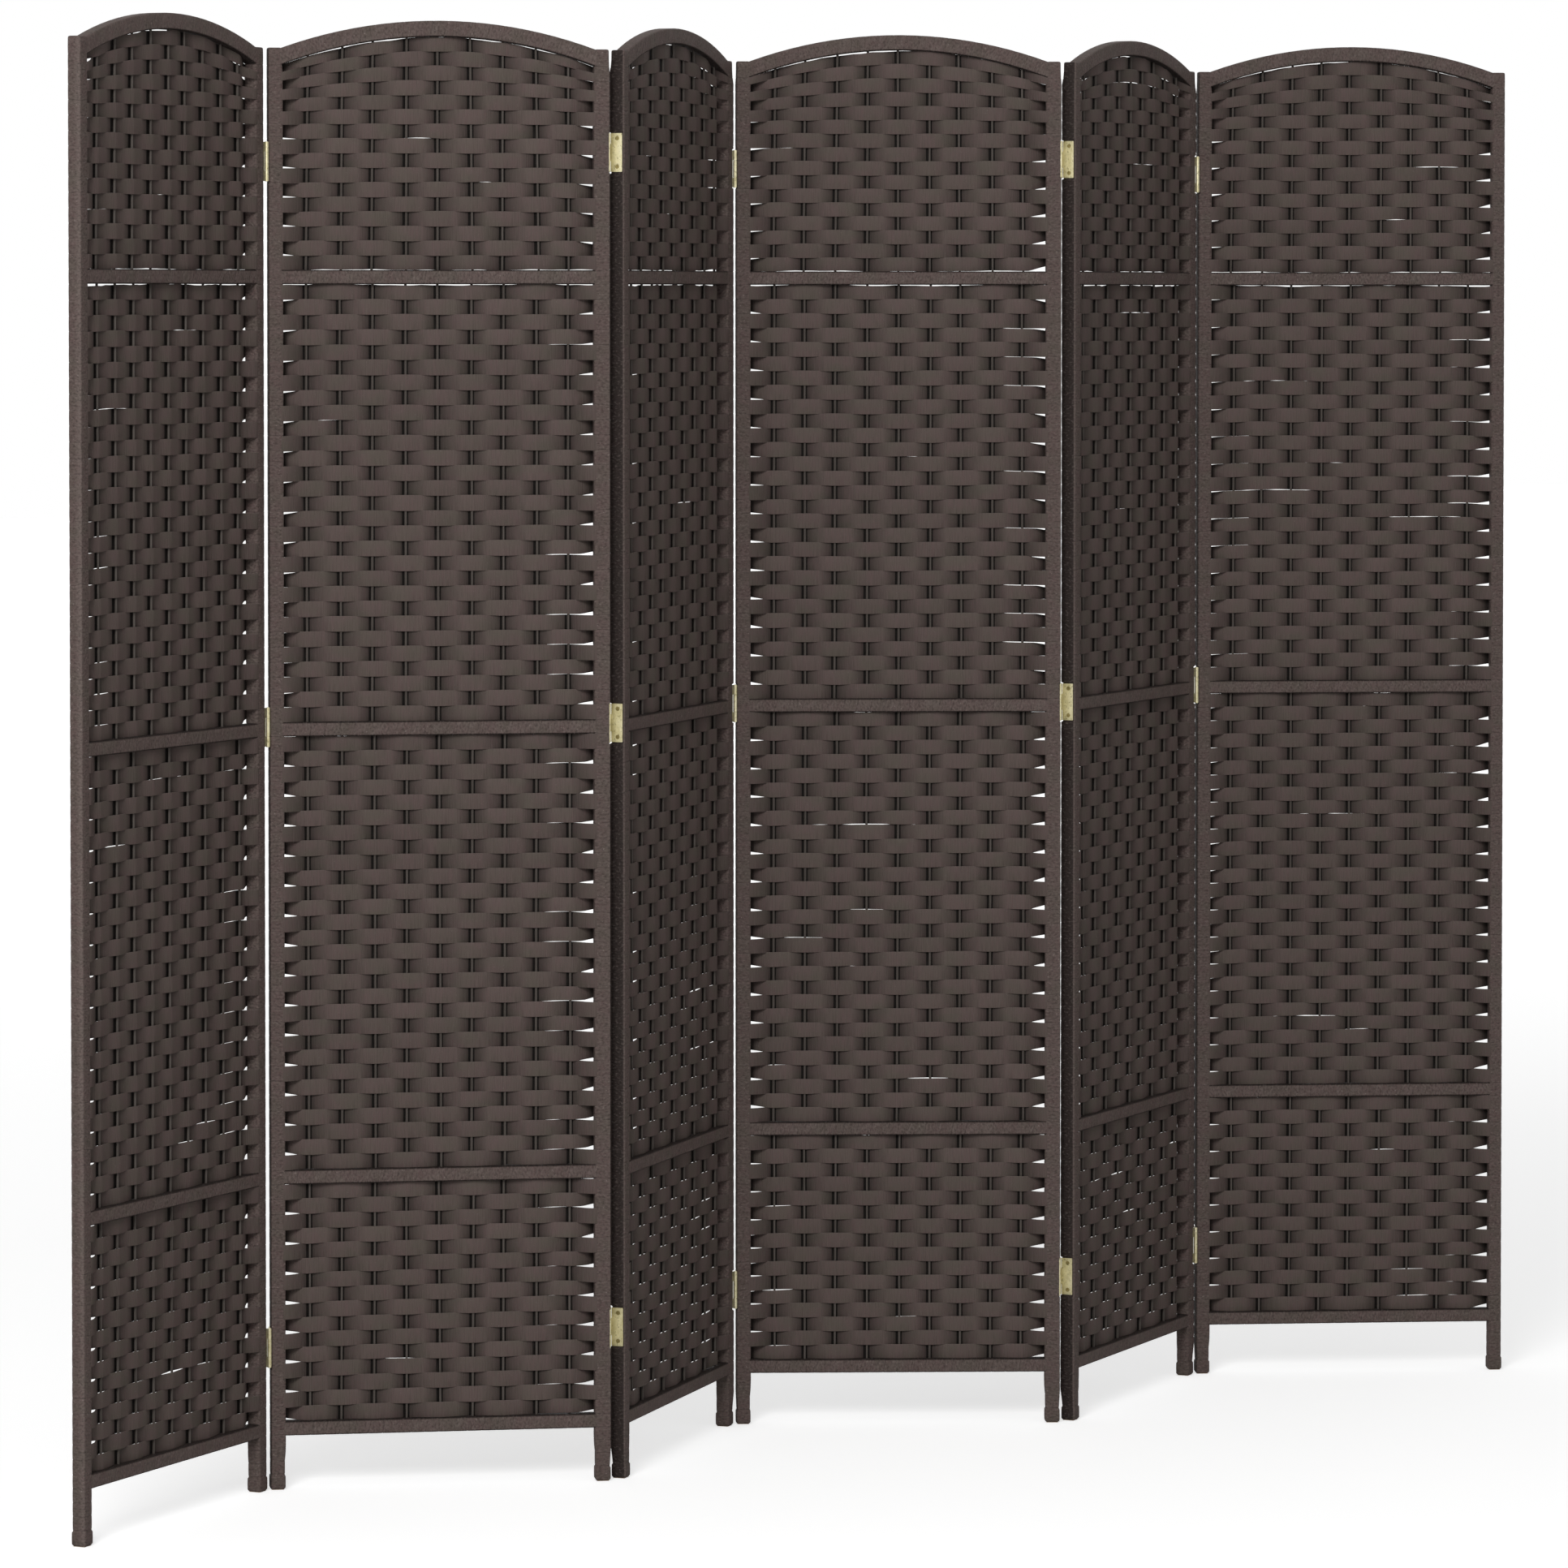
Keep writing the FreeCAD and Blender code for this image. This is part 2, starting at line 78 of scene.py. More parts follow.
@dataclass(frozen=True)
class ScreenSizes:
    """The screen's own sizes in metres, as its frame is built."""

    panels: int = 6
    panel_width: float = 396 * MM
    post_height: float = 1668 * MM
    post_width: float = 16.4 * MM
    post_depth: float = 16.4 * MM
    arch_rise: float = 32 * MM
    arch_height: float = 18.4 * MM
    rail_height: float = 16.4 * MM
    rail_depth: float = 16.4 * MM
    rail_middles: tuple[float, ...] = (71 * MM, 363 * MM, 882 * MM, 1404 * MM)
    stakes: int = 9
    stake_pitch: float = 38 * MM
    stake_radius: float = 1.5 * MM
    floor_gap: float = 0.5 * MM
    foot_height: float = 16 * MM
    foot_growth: float = 0.8 * MM
    hinge_middles: tuple[float, ...] = (172 * MM, 885 * MM, 1543 * MM)
    hinge_stagger: tuple[float, ...] = (6 * MM, 0, 6 * MM)
    hinge_half_height: float = 23.2 * MM
    hinge_recess_step: float = 1.2 * MM
    snugness: tuple[float, ...] = (0, 1, 0.76, 1, 0.79)

    @property
    def inner_left(self) -> float:
        """Inner face of the left post."""
        return self.post_width

    @property
    def inner_right(self) -> float:
        """Inner face of the right post."""
        return self.panel_width - self.post_width

    @property
    def first_stake(self) -> float:
        """Place of the first stake along the panel."""
        return (self.panel_width - (self.stakes - 1) * self.stake_pitch) / 2

    @property
    def stake_places(self) -> Array:
        """Even places of the stakes along the panel."""
        return self.first_stake + self.stake_pitch * np.arange(self.stakes)

    @property
    def half_span(self) -> float:
        """Half the distance between the posts."""
        return self.panel_width / 2 - self.post_width

    @property
    def arch_radius(self) -> float:
        """Outer radius of the arched top rail."""
        return (self.half_span**2 + self.arch_rise**2) / (2 * self.arch_rise)

    @property
    def arch_centre(self) -> float:
        """Height of the arch's centre."""
        return self.post_height + self.arch_rise - self.arch_radius

    def hinge_heights(self, joint: int) -> Array:
        """Heights of the middles of a joint's hinges. Odd joints have their pins in front, and lower."""
        side = Passing.IN_FRONT if joint % 2 else Passing.BEHIND
        return np.array(self.hinge_middles) + side.value * np.array(self.hinge_stagger)

    def arch_underside(self, x: Array) -> Array:
        """Height of the arch's underside at places along the panel."""
        off = np.clip(x, self.inner_left, self.inner_right) - self.panel_width / 2
        return self.arch_centre + np.sqrt((self.arch_radius - self.arch_height) ** 2 - off**2)


SIZES = ScreenSizes()


def eased(values: Array, low: float, high: float) -> Array:
    """Values eased from 0 at low to 1 at high."""
    share = np.clip((values - low) / (high - low), 0, 1)
    return share * share * (3 - 2 * share)


def wander(x: Array, rng: np.random.Generator, wavelength: float) -> Array:
    """A gentle uneven line.

    Args:
        x: Places along the line.
        rng: Where its unevenness comes from.
        wavelength: Its longest wave.

    Returns:
        Offsets, mostly between -1 and 1.
    """
    line = np.zeros_like(x)
    for order in range(1, 4):
        phase = rng.uniform(0, 2 * math.pi)
        line += np.cos(2 * math.pi * order * x / wavelength + phase) * rng.uniform(0.4, 1) / order
    return line / 1.6


def padded(values: list[float], count: int) -> Array:
    """Add midpoints in the widest gaps between places.

    Args:
        values: The places.
        count: How many there have to be in the end.

    Returns:
        The places in order.
    """
    places = sorted(values)
    while len(places) < count:
        gaps = np.diff(places)
        widest = int(np.argmax(gaps))
        places.insert(widest + 1, (places[widest] + places[widest + 1]) / 2)
    return np.array(places)


def rounded_section(width: float, depth: float, radius: float) -> Array:
    """Outline of a rounded bar as 16 points, anticlockwise from the middle of its +width side.

    Args:
        width: Size along the first axis.
        depth: Size along the second axis.
        radius: Radius of the corners.

    Returns:
        An array of 16 points.
    """
    quarter = math.pi / 2
    points: list[Span] = []
    for corner in range(4):
        start = corner * quarter
        across, up = round(math.cos(start)), round(math.sin(start))
        points.append((across * width / 2, up * depth / 2))
        middle = start + quarter / 2
        centre = (
            math.copysign(width / 2 - radius, math.cos(middle)),
            math.copysign(depth / 2 - radius, math.sin(middle)),
        )
        for step in range(3):
            angle = start + step * quarter / 2
            points.append((centre[0] + radius * math.cos(angle), centre[1] + radius * math.sin(angle)))
    return np.array(points)


class TubePattern:
    """A closed tube cut into rings, modelled once and copied for every strip or winding like it."""

    COPY_SPACING = 4.0

    def __init__(self, name: str, cuts: tuple[int, int], sides: int, copies: int = 1) -> None:
        """Model the tube.

        Args:
            name: The pattern's name.
            cuts: The tube's lengths are cut into the first number, and each of these into the second.
            sides: Number of its long faces.
            copies: Number of tubes side by side.
        """
        self.sides = sides
        self.rings = cuts[0] * cuts[1] + 1
        bpy.ops.object.select_all(action="DESELECT")
        bpy.ops.mesh.primitive_cylinder_add(
            vertices=sides, radius=1, depth=self.rings - 1, end_fill_type="NGON"
        )
        tube = bpy.context.object
        tube.name = name
        for pieces in cuts:
            self._cut_long_edges(tube, pieces)
        if copies > 1:
            row = tube.modifiers.new("rows", "ARRAY")
            row.use_relative_offset = False
            row.use_constant_offset = True
            row.constant_offset_displace = (self.COPY_SPACING, 0, 0)
            row.count = copies
            bpy.ops.object.modifier_apply(modifier=row.name)
        self._read_places(tube)
        self.mesh = tube.data
        bpy.data.objects.remove(tube)

    def _cut_long_edges(self, tube: Piece, pieces: int) -> None:
        """Cut every long edge of the tube into equal pieces, with a ring at each cut.

        Args:
            tube: The tube.
            pieces: How many pieces an edge is cut into.
        """
        bpy.ops.object.mode_set(mode="EDIT")
        bpy.ops.mesh.select_mode(type="EDGE")
        bpy.ops.mesh.select_all(action="DESELECT")
        bpy.ops.object.mode_set(mode="OBJECT")
        points = tube.data.vertices
        for edge in tube.data.edges:
            low, high = (points[index].co.z for index in edge.vertices)
            edge.select = abs(high - low) > 0.5
        bpy.ops.object.mode_set(mode="EDIT")
        bpy.ops.mesh.subdivide(number_cuts=pieces - 1)
        bpy.ops.object.mode_set(mode="OBJECT")

    def _read_places(self, tube: Piece) -> None:
        """Note which copy, ring and side each vertex and each face corner belongs to.

        Args:
            tube: The tube.
        """
        mesh = tube.data
        points = np.zeros(len(mesh.vertices) * 3)
        mesh.vertices.foreach_get("co", points)
        points = points.reshape(-1, 3)
        self.copy = np.rint(points[:, 0] / self.COPY_SPACING).astype(int)
        across = points[:, 0] - self.copy * self.COPY_SPACING
        self.ring = np.rint(points[:, 2] + (self.rings - 1) / 2).astype(int)
        turn = np.arctan2(points[:, 1], across) / (2 * math.pi) * self.sides
        self.side = np.rint(turn).astype(int) % self.sides
        corner_vertex = np.zeros(len(mesh.loops), int)
        mesh.loops.foreach_get("vertex_index", corner_vertex)
        totals = np.zeros(len(mesh.polygons), int)
        mesh.polygons.foreach_get("loop_total", totals)
        corner_side = self.side[corner_vertex]
        is_quad = np.repeat(totals == 4, totals)
        quads = corner_side[is_quad].reshape(-1, 4)
        closes = (quads.max(1) == self.sides - 1) & (quads.min(1) == 0)
        quads[closes] = np.where(quads[closes] == 0, self.sides, quads[closes])
        corner_side[is_quad] = quads.ravel()
        self.corner_vertex = corner_vertex
        self.corner_side = corner_side

    def shaped(self, name: str, points: Array) -> Piece:
        """A copy of the tube with its own mesh, moved to these points.

        Args:
            name: The copy's name.
            points: Where its vertices go.

        Returns:
            The copy.
        """
        mesh = self.mesh.copy()
        mesh.name = name
        mesh.vertices.foreach_set("co", points.astype(np.float32).ravel())
        mesh.update()
        piece = bpy.data.objects.new(name, mesh)
        bpy.context.scene.collection.objects.link(piece)
        return piece

    def lay_fibre(self, piece: Piece, along: Array, around: Array, tape_runs_along: bool) -> None:
        """Give a piece the map that its fibre follows, in metres, the tape's direction first.

        Args:
            piece: A copy of this pattern.
            along: Distance along the tube for each vertex.
            around: Distance round the section for each side, and once more for the first.
            tape_runs_along: Whether the tape runs along the tube, not round it.
        """
        layer = piece.data.uv_layers.new(name="fibre")
        length = along[self.corner_vertex]
        girth = around[self.corner_side]
        pair = (length, girth) if tape_runs_along else (girth, length)
        layer.data.foreach_set("uv", np.stack(pair, axis=1).astype(np.float32).ravel())

    @staticmethod
    def mark(piece: Piece, name: str, values: Array) -> None:
        """Store one number per vertex on a piece, for its material to read."""
        layer = piece.data.attributes.new(name, "FLOAT", "POINT")
        layer.data.foreach_set("value", values.astype(np.float32))


def girth_table(section: Array) -> Array:
    """Distance round a section at each of its points, and once more at the first."""
    steps = np.linalg.norm(np.diff(np.vstack([section, section[:1]]), axis=0), axis=1)
    return np.concatenate([[0], np.cumsum(steps)])


def finish_smooth(piece: Piece, angle: float) -> None:
    """Shade a piece smooth, with its broad faces flat and edges sharper than an angle left sharp.

    Args:
        piece: The piece.
        angle: The angle in degrees.
    """
    bpy.ops.object.select_all(action="DESELECT")
    piece.select_set(True)
    bpy.context.view_layer.objects.active = piece
    bpy.ops.object.shade_smooth_by_angle(angle=math.radians(angle))
    flatten = piece.modifiers.new("flatten", "WEIGHTED_NORMAL")
    flatten.keep_sharp = True
    bpy.ops.object.modifier_apply(modifier=flatten.name)
    piece.select_set(False)


@dataclass(frozen=True)
class PanelPlace:
    """Where one panel stands."""

    number: int
    origin: Vector
    turn: float

    @classmethod
    def of(cls, number: int) -> "PanelPlace":
        """Read a panel's place from its two posts.

        Args:
            number: The panel, counted from 1 at the left.

        Returns:
            The panel's place.
        """
        left, right = (
            sum(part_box(f"panel_{number}_{end.value}_post"), Vector()) / 2 for end in PostEnd
        )
        run = (right - left).normalized()
        start = left - run * SIZES.post_width / 2
        return cls(number, Vector((start.x, start.y, 0)), math.atan2(run.y, run.x))

    @property
    def name(self) -> str:
        """The panel's body."""
        return f"panel_{self.number}"

    def standing(self, points: Array) -> Array:
        """Put points where the panel stands.

        Args:
            points: The points in the panel's own frame.

        Returns:
            The points in the screen's frame.
        """
        cos, sin = math.cos(self.turn), math.sin(self.turn)
        x = points[:, 0] * cos - points[:, 1] * sin + self.origin.x
        y = points[:, 0] * sin + points[:, 1] * cos + self.origin.y
        return np.stack([x, y, points[:, 2]], axis=1)


@dataclass
class Shape:
    """What a plain tube is made into: its points in the panel's frame, its marks and its fibre map."""

    name: str
    points: Array
    marks: dict[str, Array]
    along: Array | None = None
    around: Array | None = None
    tape_runs_along: bool = False


@dataclass
class PanelPiece:
    """A piece of one panel, shaped from a plain tube to take the place of a piece of the frame."""

    REPLACED = ""
    SLOT = ""
    SHARP_ANGLE = 50.0

    place: PanelPlace

    def shape(self, pattern: TubePattern) -> Shape:
        """Work out the shape from the plain tube's copies, rings and sides."""
        raise NotImplementedError

    def build(self, pattern: TubePattern, finish: Material) -> Piece:
        """Model the piece.

        Args:
            pattern: The plain tube, or as many side by side as the piece has parts.
            finish: Its material.

        Returns:
            The piece, riding on its panel.
        """
        shape = self.shape(pattern)
        piece = pattern.shaped(f"{self.place.name}_{shape.name}", self.place.standing(shape.points))
        if shape.along is not None:
            pattern.lay_fibre(piece, shape.along, shape.around, shape.tape_runs_along)
        for name, values in shape.marks.items():
            pattern.mark(piece, name, values)
        finish_smooth(piece, self.SHARP_ANGLE)
        piece.data.materials.clear()
        piece.data.materials.append(finish)
        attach(piece, self.place.name)
        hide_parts(f"{self.place.name}_{self.REPLACED}")
        return piece


class Graph:
    """The nodes of a material or a sky, added and joined one by one."""

    def __init__(self, owner: Material | bpy.types.World, end: str, shader: str) -> None:
        """Clear the owner's nodes and add its output node and its shader.

        Args:
            owner: The material or the sky.
            end: Kind of the output node, as for add.
            shader: Kind of the shader.
        """
        owner.use_nodes = True
        self.tree = owner.node_tree
        self.tree.nodes.clear()
        self.shader = self.add(shader)
        self.add(end, {"Surface": self.shader.outputs[0]})

    def add(self, kind: str, inputs: Inputs | None = None, **settings: str) -> bpy.types.Node:
        """Add a node.

        Args:
            kind: Its kind, without the word ShaderNode.
            inputs: What its inputs are linked to or given.
            settings: Its settings.

        Returns:
            The node.
        """
        node = self.tree.nodes.new(f"ShaderNode{kind}")
        for name, setting in settings.items():
            setattr(node, name, setting)
        for name, value in (inputs or {}).items():
            self.fill(node.inputs[name], value)
        return node

    def fill(self, socket: Socket, value: Value) -> None:
        """Link an input to another node's output, or give it a value that is the same all over.

        Args:
            socket: The input.
            value: The output or the value.
        """
        if isinstance(value, Socket):
            self.tree.links.new(value, socket)
        else:
            socket.default_value = value

    def give(self, name: str, value: Value) -> None:
        """Link or set one of the shader's own inputs."""
        self.fill(self.shader.inputs[name], value)

    def fibre_map(self) -> Socket:
        """The piece's own fibre map, in metres."""
        return self.add("UVMap", uv_map="fibre").outputs["UV"]

    def object_place(self) -> Socket:
        """The place on the object, in metres."""
        return self.add("TexCoord").outputs["Object"]

    def mark(self, name: str, most: float) -> Socket:
        """A share that the piece stores for each vertex, of up to the most."""
        share = self.add("Attribute", attribute_name=name).outputs["Fac"]
        return self.spread(share, 0, 1, 0, most)

    def noise(self, place: Socket, scale: Triple, detail: float = 2, rough: float = 0.5) -> Socket:
        """Soft noise.

        Args:
            place: A coordinate in metres.
            scale: How many features it has to a metre along each axis.
            detail: How many finer layers it has.
            rough: How strong they are.

        Returns:
            A number of about 0.2 to 0.8.
        """
        scaled = self.add("Mapping", {"Vector": place, "Scale": scale}).outputs["Vector"]
        inputs = {"Vector": scaled, "Scale": 1, "Detail": detail, "Roughness": rough}
        return self.add("TexNoise", inputs).outputs["Fac"]

    def spread(self, source: Socket, low: float, high: float, start: float = 0, end: float = 1) -> Socket:
        """A number stretched from the range of low to high to that of start to end, and held within it."""
        inputs = {"Value": source, "From Min": low, "From Max": high, "To Min": start, "To Max": end}
        return self.add("MapRange", inputs).outputs["Result"]

    def maths(self, operation: str, *numbers: Socket | float) -> Socket:
        """The result of an operation on two or three numbers."""
        return self.add("Math", dict(enumerate(numbers)), operation=operation).outputs[0]

    def sum(self, first: Socket, second: Socket, share: float) -> Socket:
        """The first number plus a share of the second."""
        return self.maths("MULTIPLY_ADD", second, share, first)

    def blend(self, share: Socket, first: Socket | Triple, second: Socket | Triple) -> Socket:
        """A colour, or the socket of one, mixed with a share of a second that varies over the surface."""
        pair = [(*colour, 1) if isinstance(colour, tuple) else colour for colour in (first, second)]
        return self.add("Mix", dict(zip((0, 6, 7), (share, *pair))), data_type="RGBA").outputs[2]

    def raised(self, height: Socket, distance: float) -> None:
        """Raise the surface by a height of 0 to 1 times a distance in metres."""
        bump = self.add("Bump", {"Height": height, "Distance": distance, "Strength": 1})
        self.give("Normal", bump.outputs["Normal"])


class Coat(Graph):
    """A material's nodes, with a plain shader at their end."""

    def __init__(self, name: str) -> None:
        """Start an empty material."""
        self.material = bpy.data.materials.new(name)
        super().__init__(self.material, "OutputMaterial", "BsdfPrincipled")

    def cover(self, colour: Socket, patches: Socket, roughness: Span) -> None:
        """Give the shader its colour, and a roughness that varies with a noise."""
        self.give("Base Color", colour)
        self.give("Roughness", self.spread(patches, 0.3, 0.7, *roughness))


@dataclass(frozen=True)
class FibreFinish:
    """Dark brown paper fibre tape: ribbed across where it is woven, creped where it is wound."""

    name: str
    brown: Triple
    red: Triple
    grey: Triple
    # Near-black colour of the painted shade in crevices, seams and rib hollows.
    painted_shade: Triple
    # Pale fibre colour of the specks, and the colour of the painted highlights on rims and rib crests.
    light: Triple
    streaks_per_metre: Span
    ribs_per_metre: Span
    rib_height: float
    rib_shade: float
    specks: float
    specks_per_metre: float
    roughness: Span
    tones: Span = (0.80, 1.22)
    rim_share: float = 0.42
    painted_shade_share: float = 0.96
    clouds_per_metre: Span = (26, 34)
    grain_per_metre: float = 1500
    grain_share: float = 0.35
    specular: float = 0.1

    def build(self) -> Material:
        """Make the material.

        Returns:
            The material, which reads the fibre map and three marks: tone, a painted shade towards a
            near-black colour, and rim, a painted highlight that on the rails also holds rubbed pale
            patches.
        """
        graph = Coat(self.name)
        place = graph.fibre_map()
        streak = graph.noise(place, (*self.streaks_per_metre, 1))
        cloud = graph.noise(place, (*self.clouds_per_metre, 1))
        colour = graph.blend(graph.spread(streak, 0.36, 0.66), self.red, self.brown)
        colour = graph.blend(graph.spread(cloud, 0.42, 0.68), colour, self.grey)
        dark, pale = (tuple(tone * part for part in self.brown) for tone in self.tones)
        tone = graph.add("Attribute", attribute_name="tone").outputs["Fac"]
        toned = graph.blend(graph.spread(tone, -1, 1), dark, pale)
        colour = graph.blend(graph.spread(streak, 0.3, 0.7, 0.30, 0.42), colour, toned)
        speck = graph.noise(place, (self.specks_per_metre,) * 2 + (1,), 1)
        colour = graph.blend(graph.spread(speck, 0.69, 0.76, 0, self.specks), colour, self.light)
        # Painted highlight where the piece marks its rim; on the rails the same mark also holds rubbed pale
        # patches.
        colour = graph.blend(graph.mark("rim", self.rim_share), colour, self.light)
        # Painted shade: the colour goes towards near-black where the piece marks its shade.
        colour = graph.blend(graph.mark("painted_shade", self.painted_shade_share), colour, self.painted_shade)
        rib = graph.noise(place, (*self.ribs_per_metre, 1))
        # Painted shade in the rib hollows and a painted highlight on the rib crests, on top of the rib
        # bump.
        colour = graph.blend(graph.spread(rib, 0.30, 0.50, self.rib_shade, 0), colour, self.painted_shade)
        colour = graph.blend(graph.spread(rib, 0.55, 0.72, 0, self.rib_shade / 2), colour, self.light)
        graph.cover(colour, rib, self.roughness)
        grain = graph.noise(place, (self.grain_per_metre,) * 2 + (1,))
        graph.raised(graph.sum(rib, grain, self.grain_share), self.rib_height)
        graph.give("Specular IOR Level", self.specular)
        return graph.material


@dataclass(frozen=True)
class WoodFinish:
    """Straight-grained softwood, bare or stained."""

    name: str
    light: Triple
    dark: Triple
    grain_per_metre: Triple = (700, 700, 18)
    pores_per_metre: Triple = (2600, 2600, 120)
    pore_share: float = 0.5
    relief: float = 0.12 * MM
    roughness: Span = (0.5, 0.7)
    specular: float = 0.5

    def build(self) -> Material:
        """Make the material, with its grain running upwards.

        Returns:
            The material.
        """
        graph = Coat(self.name)
        place = graph.object_place()
        grain = graph.noise(place, self.grain_per_metre, 3)
        pore = graph.noise(place, self.pores_per_metre, 1)
        colour = graph.blend(graph.spread(grain, 0.35, 0.65), self.dark, self.light)
        graph.cover(colour, grain, self.roughness)
        graph.give("Specular IOR Level", self.specular)
        graph.raised(graph.sum(grain, pore, self.pore_share), self.relief)
        return graph.material


@dataclass(frozen=True)
class BrassFinish:
    """Thin pressed brass, tarnished in spots and brighter where it is rubbed."""

    name: str
    bright: Triple
    dull: Triple
    tarnish: Triple
    tarnish_share: float
    roughness: Span
    clouds_per_metre: Triple = (150, 150, 90)
    spots_per_metre: Triple = (420, 420, 330)
    scratches_per_metre: Triple = (2400, 2400, 160)
    scratch_share: float = 0.4
    relief: float = 0.05 * MM
    metallic: float = 0.85

    def build(self) -> Material:
        """Make the material, with its spots placed on the object.

        Returns:
            The material.
        """
        graph = Coat(self.name)
        place = graph.object_place()
        cloud = graph.noise(place, self.clouds_per_metre, 3)
        spot = graph.noise(place, self.spots_per_metre, 3, 0.6)
        scratch = graph.noise(place, self.scratches_per_metre)
        colour = graph.blend(graph.spread(cloud, 0.35, 0.65), self.bright, self.dull)
        stain = graph.spread(spot, 0.56, 0.66, 0, self.tarnish_share)
        colour = graph.blend(stain, colour, self.tarnish)
        graph.cover(colour, cloud, self.roughness)
        graph.give("Metallic", self.metallic)
        graph.raised(graph.sum(spot, scratch, self.scratch_share), self.relief)
        return graph.material


WOVEN_FIBRE = FibreFinish(
    name="woven_fibre",
    brown=(0.107, 0.0805, 0.0720),
    red=(0.119, 0.0800, 0.0758),
    grey=(0.0962, 0.0826, 0.0655),
    # Near-black of the painted shade.
    painted_shade=(0.0030, 0.0024, 0.0020),
    light=(0.24, 0.205, 0.19),
    streaks_per_metre=(330, 26),
    ribs_per_metre=(760, 40),
    rib_height=0.55 * MM,
    rib_shade=0.16,
    specks=0.2,
    specks_per_metre=480,
    roughness=(0.55, 0.75),
)
WOUND_FIBRE = FibreFinish(
    name="wound_fibre",
    brown=(0.112, 0.0830, 0.0750),
    red=(0.125, 0.0830, 0.0785),
    grey=(0.103, 0.0850, 0.0705),
    # Near-black of the painted shade.
    painted_shade=(0.012, 0.0085, 0.0075),
    light=(0.29, 0.24, 0.22),
    streaks_per_metre=(160, 300),
    ribs_per_metre=(290, 430),
    rib_height=1.1 * MM,
    rib_shade=0.42,
    specks=0.5,
    specks_per_metre=330,
    roughness=(0.5, 0.75),
)
FRAME_WOOD = WoodFinish("frame_wood", light=(0.40, 0.28, 0.18), dark=(0.27, 0.18, 0.11))
STAKE_WOOD = WoodFinish(
    "stake_wood", light=(0.106, 0.091, 0.081), dark=(0.066, 0.056, 0.048), specular=0.15
)
LEAF_BRASS = BrassFinish(
    name="leaf_brass",
    bright=(0.84, 0.78, 0.53),
    dull=(0.60, 0.54, 0.31),
    tarnish=(0.20, 0.17, 0.07),
    tarnish_share=0.6,
    roughness=(0.32, 0.5),
)
PIN_BRASS = BrassFinish(
    name="pin_brass",
    bright=(0.90, 0.86, 0.70),
    dull=(0.72, 0.67, 0.48),
    tarnish=(0.25, 0.21, 0.12),
    tarnish_share=0.4,
    roughness=(0.22, 0.38),
)
SCREW_BRASS = BrassFinish(
    name="screw_brass",
    bright=(0.42, 0.35, 0.15),
    dull=(0.22, 0.18, 0.07),
    tarnish=(0.05, 0.04, 0.02),
    tarnish_share=0.8,
    roughness=(0.35, 0.55),
)


class WedgeSide(Enum):
    """Where a strip that turns behind a post leaves a slit: above itself or below."""

    ABOVE = 0
    BELOW = 1


@dataclass(frozen=True)
class Zone:
    """One woven field between two rails, or between the top rail and the arch."""

    name: str
    floor: float
    ceiling: float
    rows: int
    lowest: Passing
    bottom_slack: float
    top_slack: float
    is_arched: bool = False

    def first_passing(self, panel: int) -> Passing:
        """Look up the side on which a panel's lowest strip passes the first stake.

        Args:
            panel: The panel, counted from 1 at the left.

        Returns:
            The side.
        """
        unusual = {
            "arch": ((1, 2, 6), Passing.BEHIND),
            "upper": ((1, 3), Passing.IN_FRONT),
        }
        panels, side = unusual.get(self.name, ((), self.lowest))
        return side if panel in panels else self.lowest

    def wedges(self, panel: int) -> tuple[WedgeSide, WedgeSide]:
        """Look up the sides of the slits at a panel's posts.

        Args:
            panel: The panel, counted from 1 at the left.

        Returns:
            The sides at the left and the right post.
        """
        above, below = WedgeSide.ABOVE, WedgeSide.BELOW
        unusual = {
            (2, "arch"): (below, above),
            (2, "lower"): (below, below),
            (2, "bottom"): (below, below),
            (4, "upper"): (below, above),
            (4, "lower"): (below, below),
        }
        return unusual.get((panel, self.name), (above, below))


def zones() -> list[Zone]:
    """Set out the four woven fields of a panel.

    Returns:
        The fields, from the bottom.
    """
    half = SIZES.rail_height / 2
    floors = [middle + half for middle in SIZES.rail_middles]
    ceilings = [middle - half for middle in SIZES.rail_middles[1:]]
    ceilings.append(float(SIZES.arch_underside(np.array([SIZES.panel_width / 2]))[0]))
    names = ("bottom", "lower", "upper", "arch")
    rows = (16, 29, 29, 16)
    lowest = (Passing.IN_FRONT, Passing.BEHIND, Passing.BEHIND, Passing.IN_FRONT)
    below = (0.3 * MM, 0.5 * MM, 0.4 * MM, 1.1 * MM)
    above = (0.7 * MM, 0.7 * MM, 1.6 * MM, 1.9 * MM)
    columns = zip(names, floors, ceilings, rows, lowest, below, above)
    return [Zone(*column, is_arched=column[0] == "arch") for column in columns]


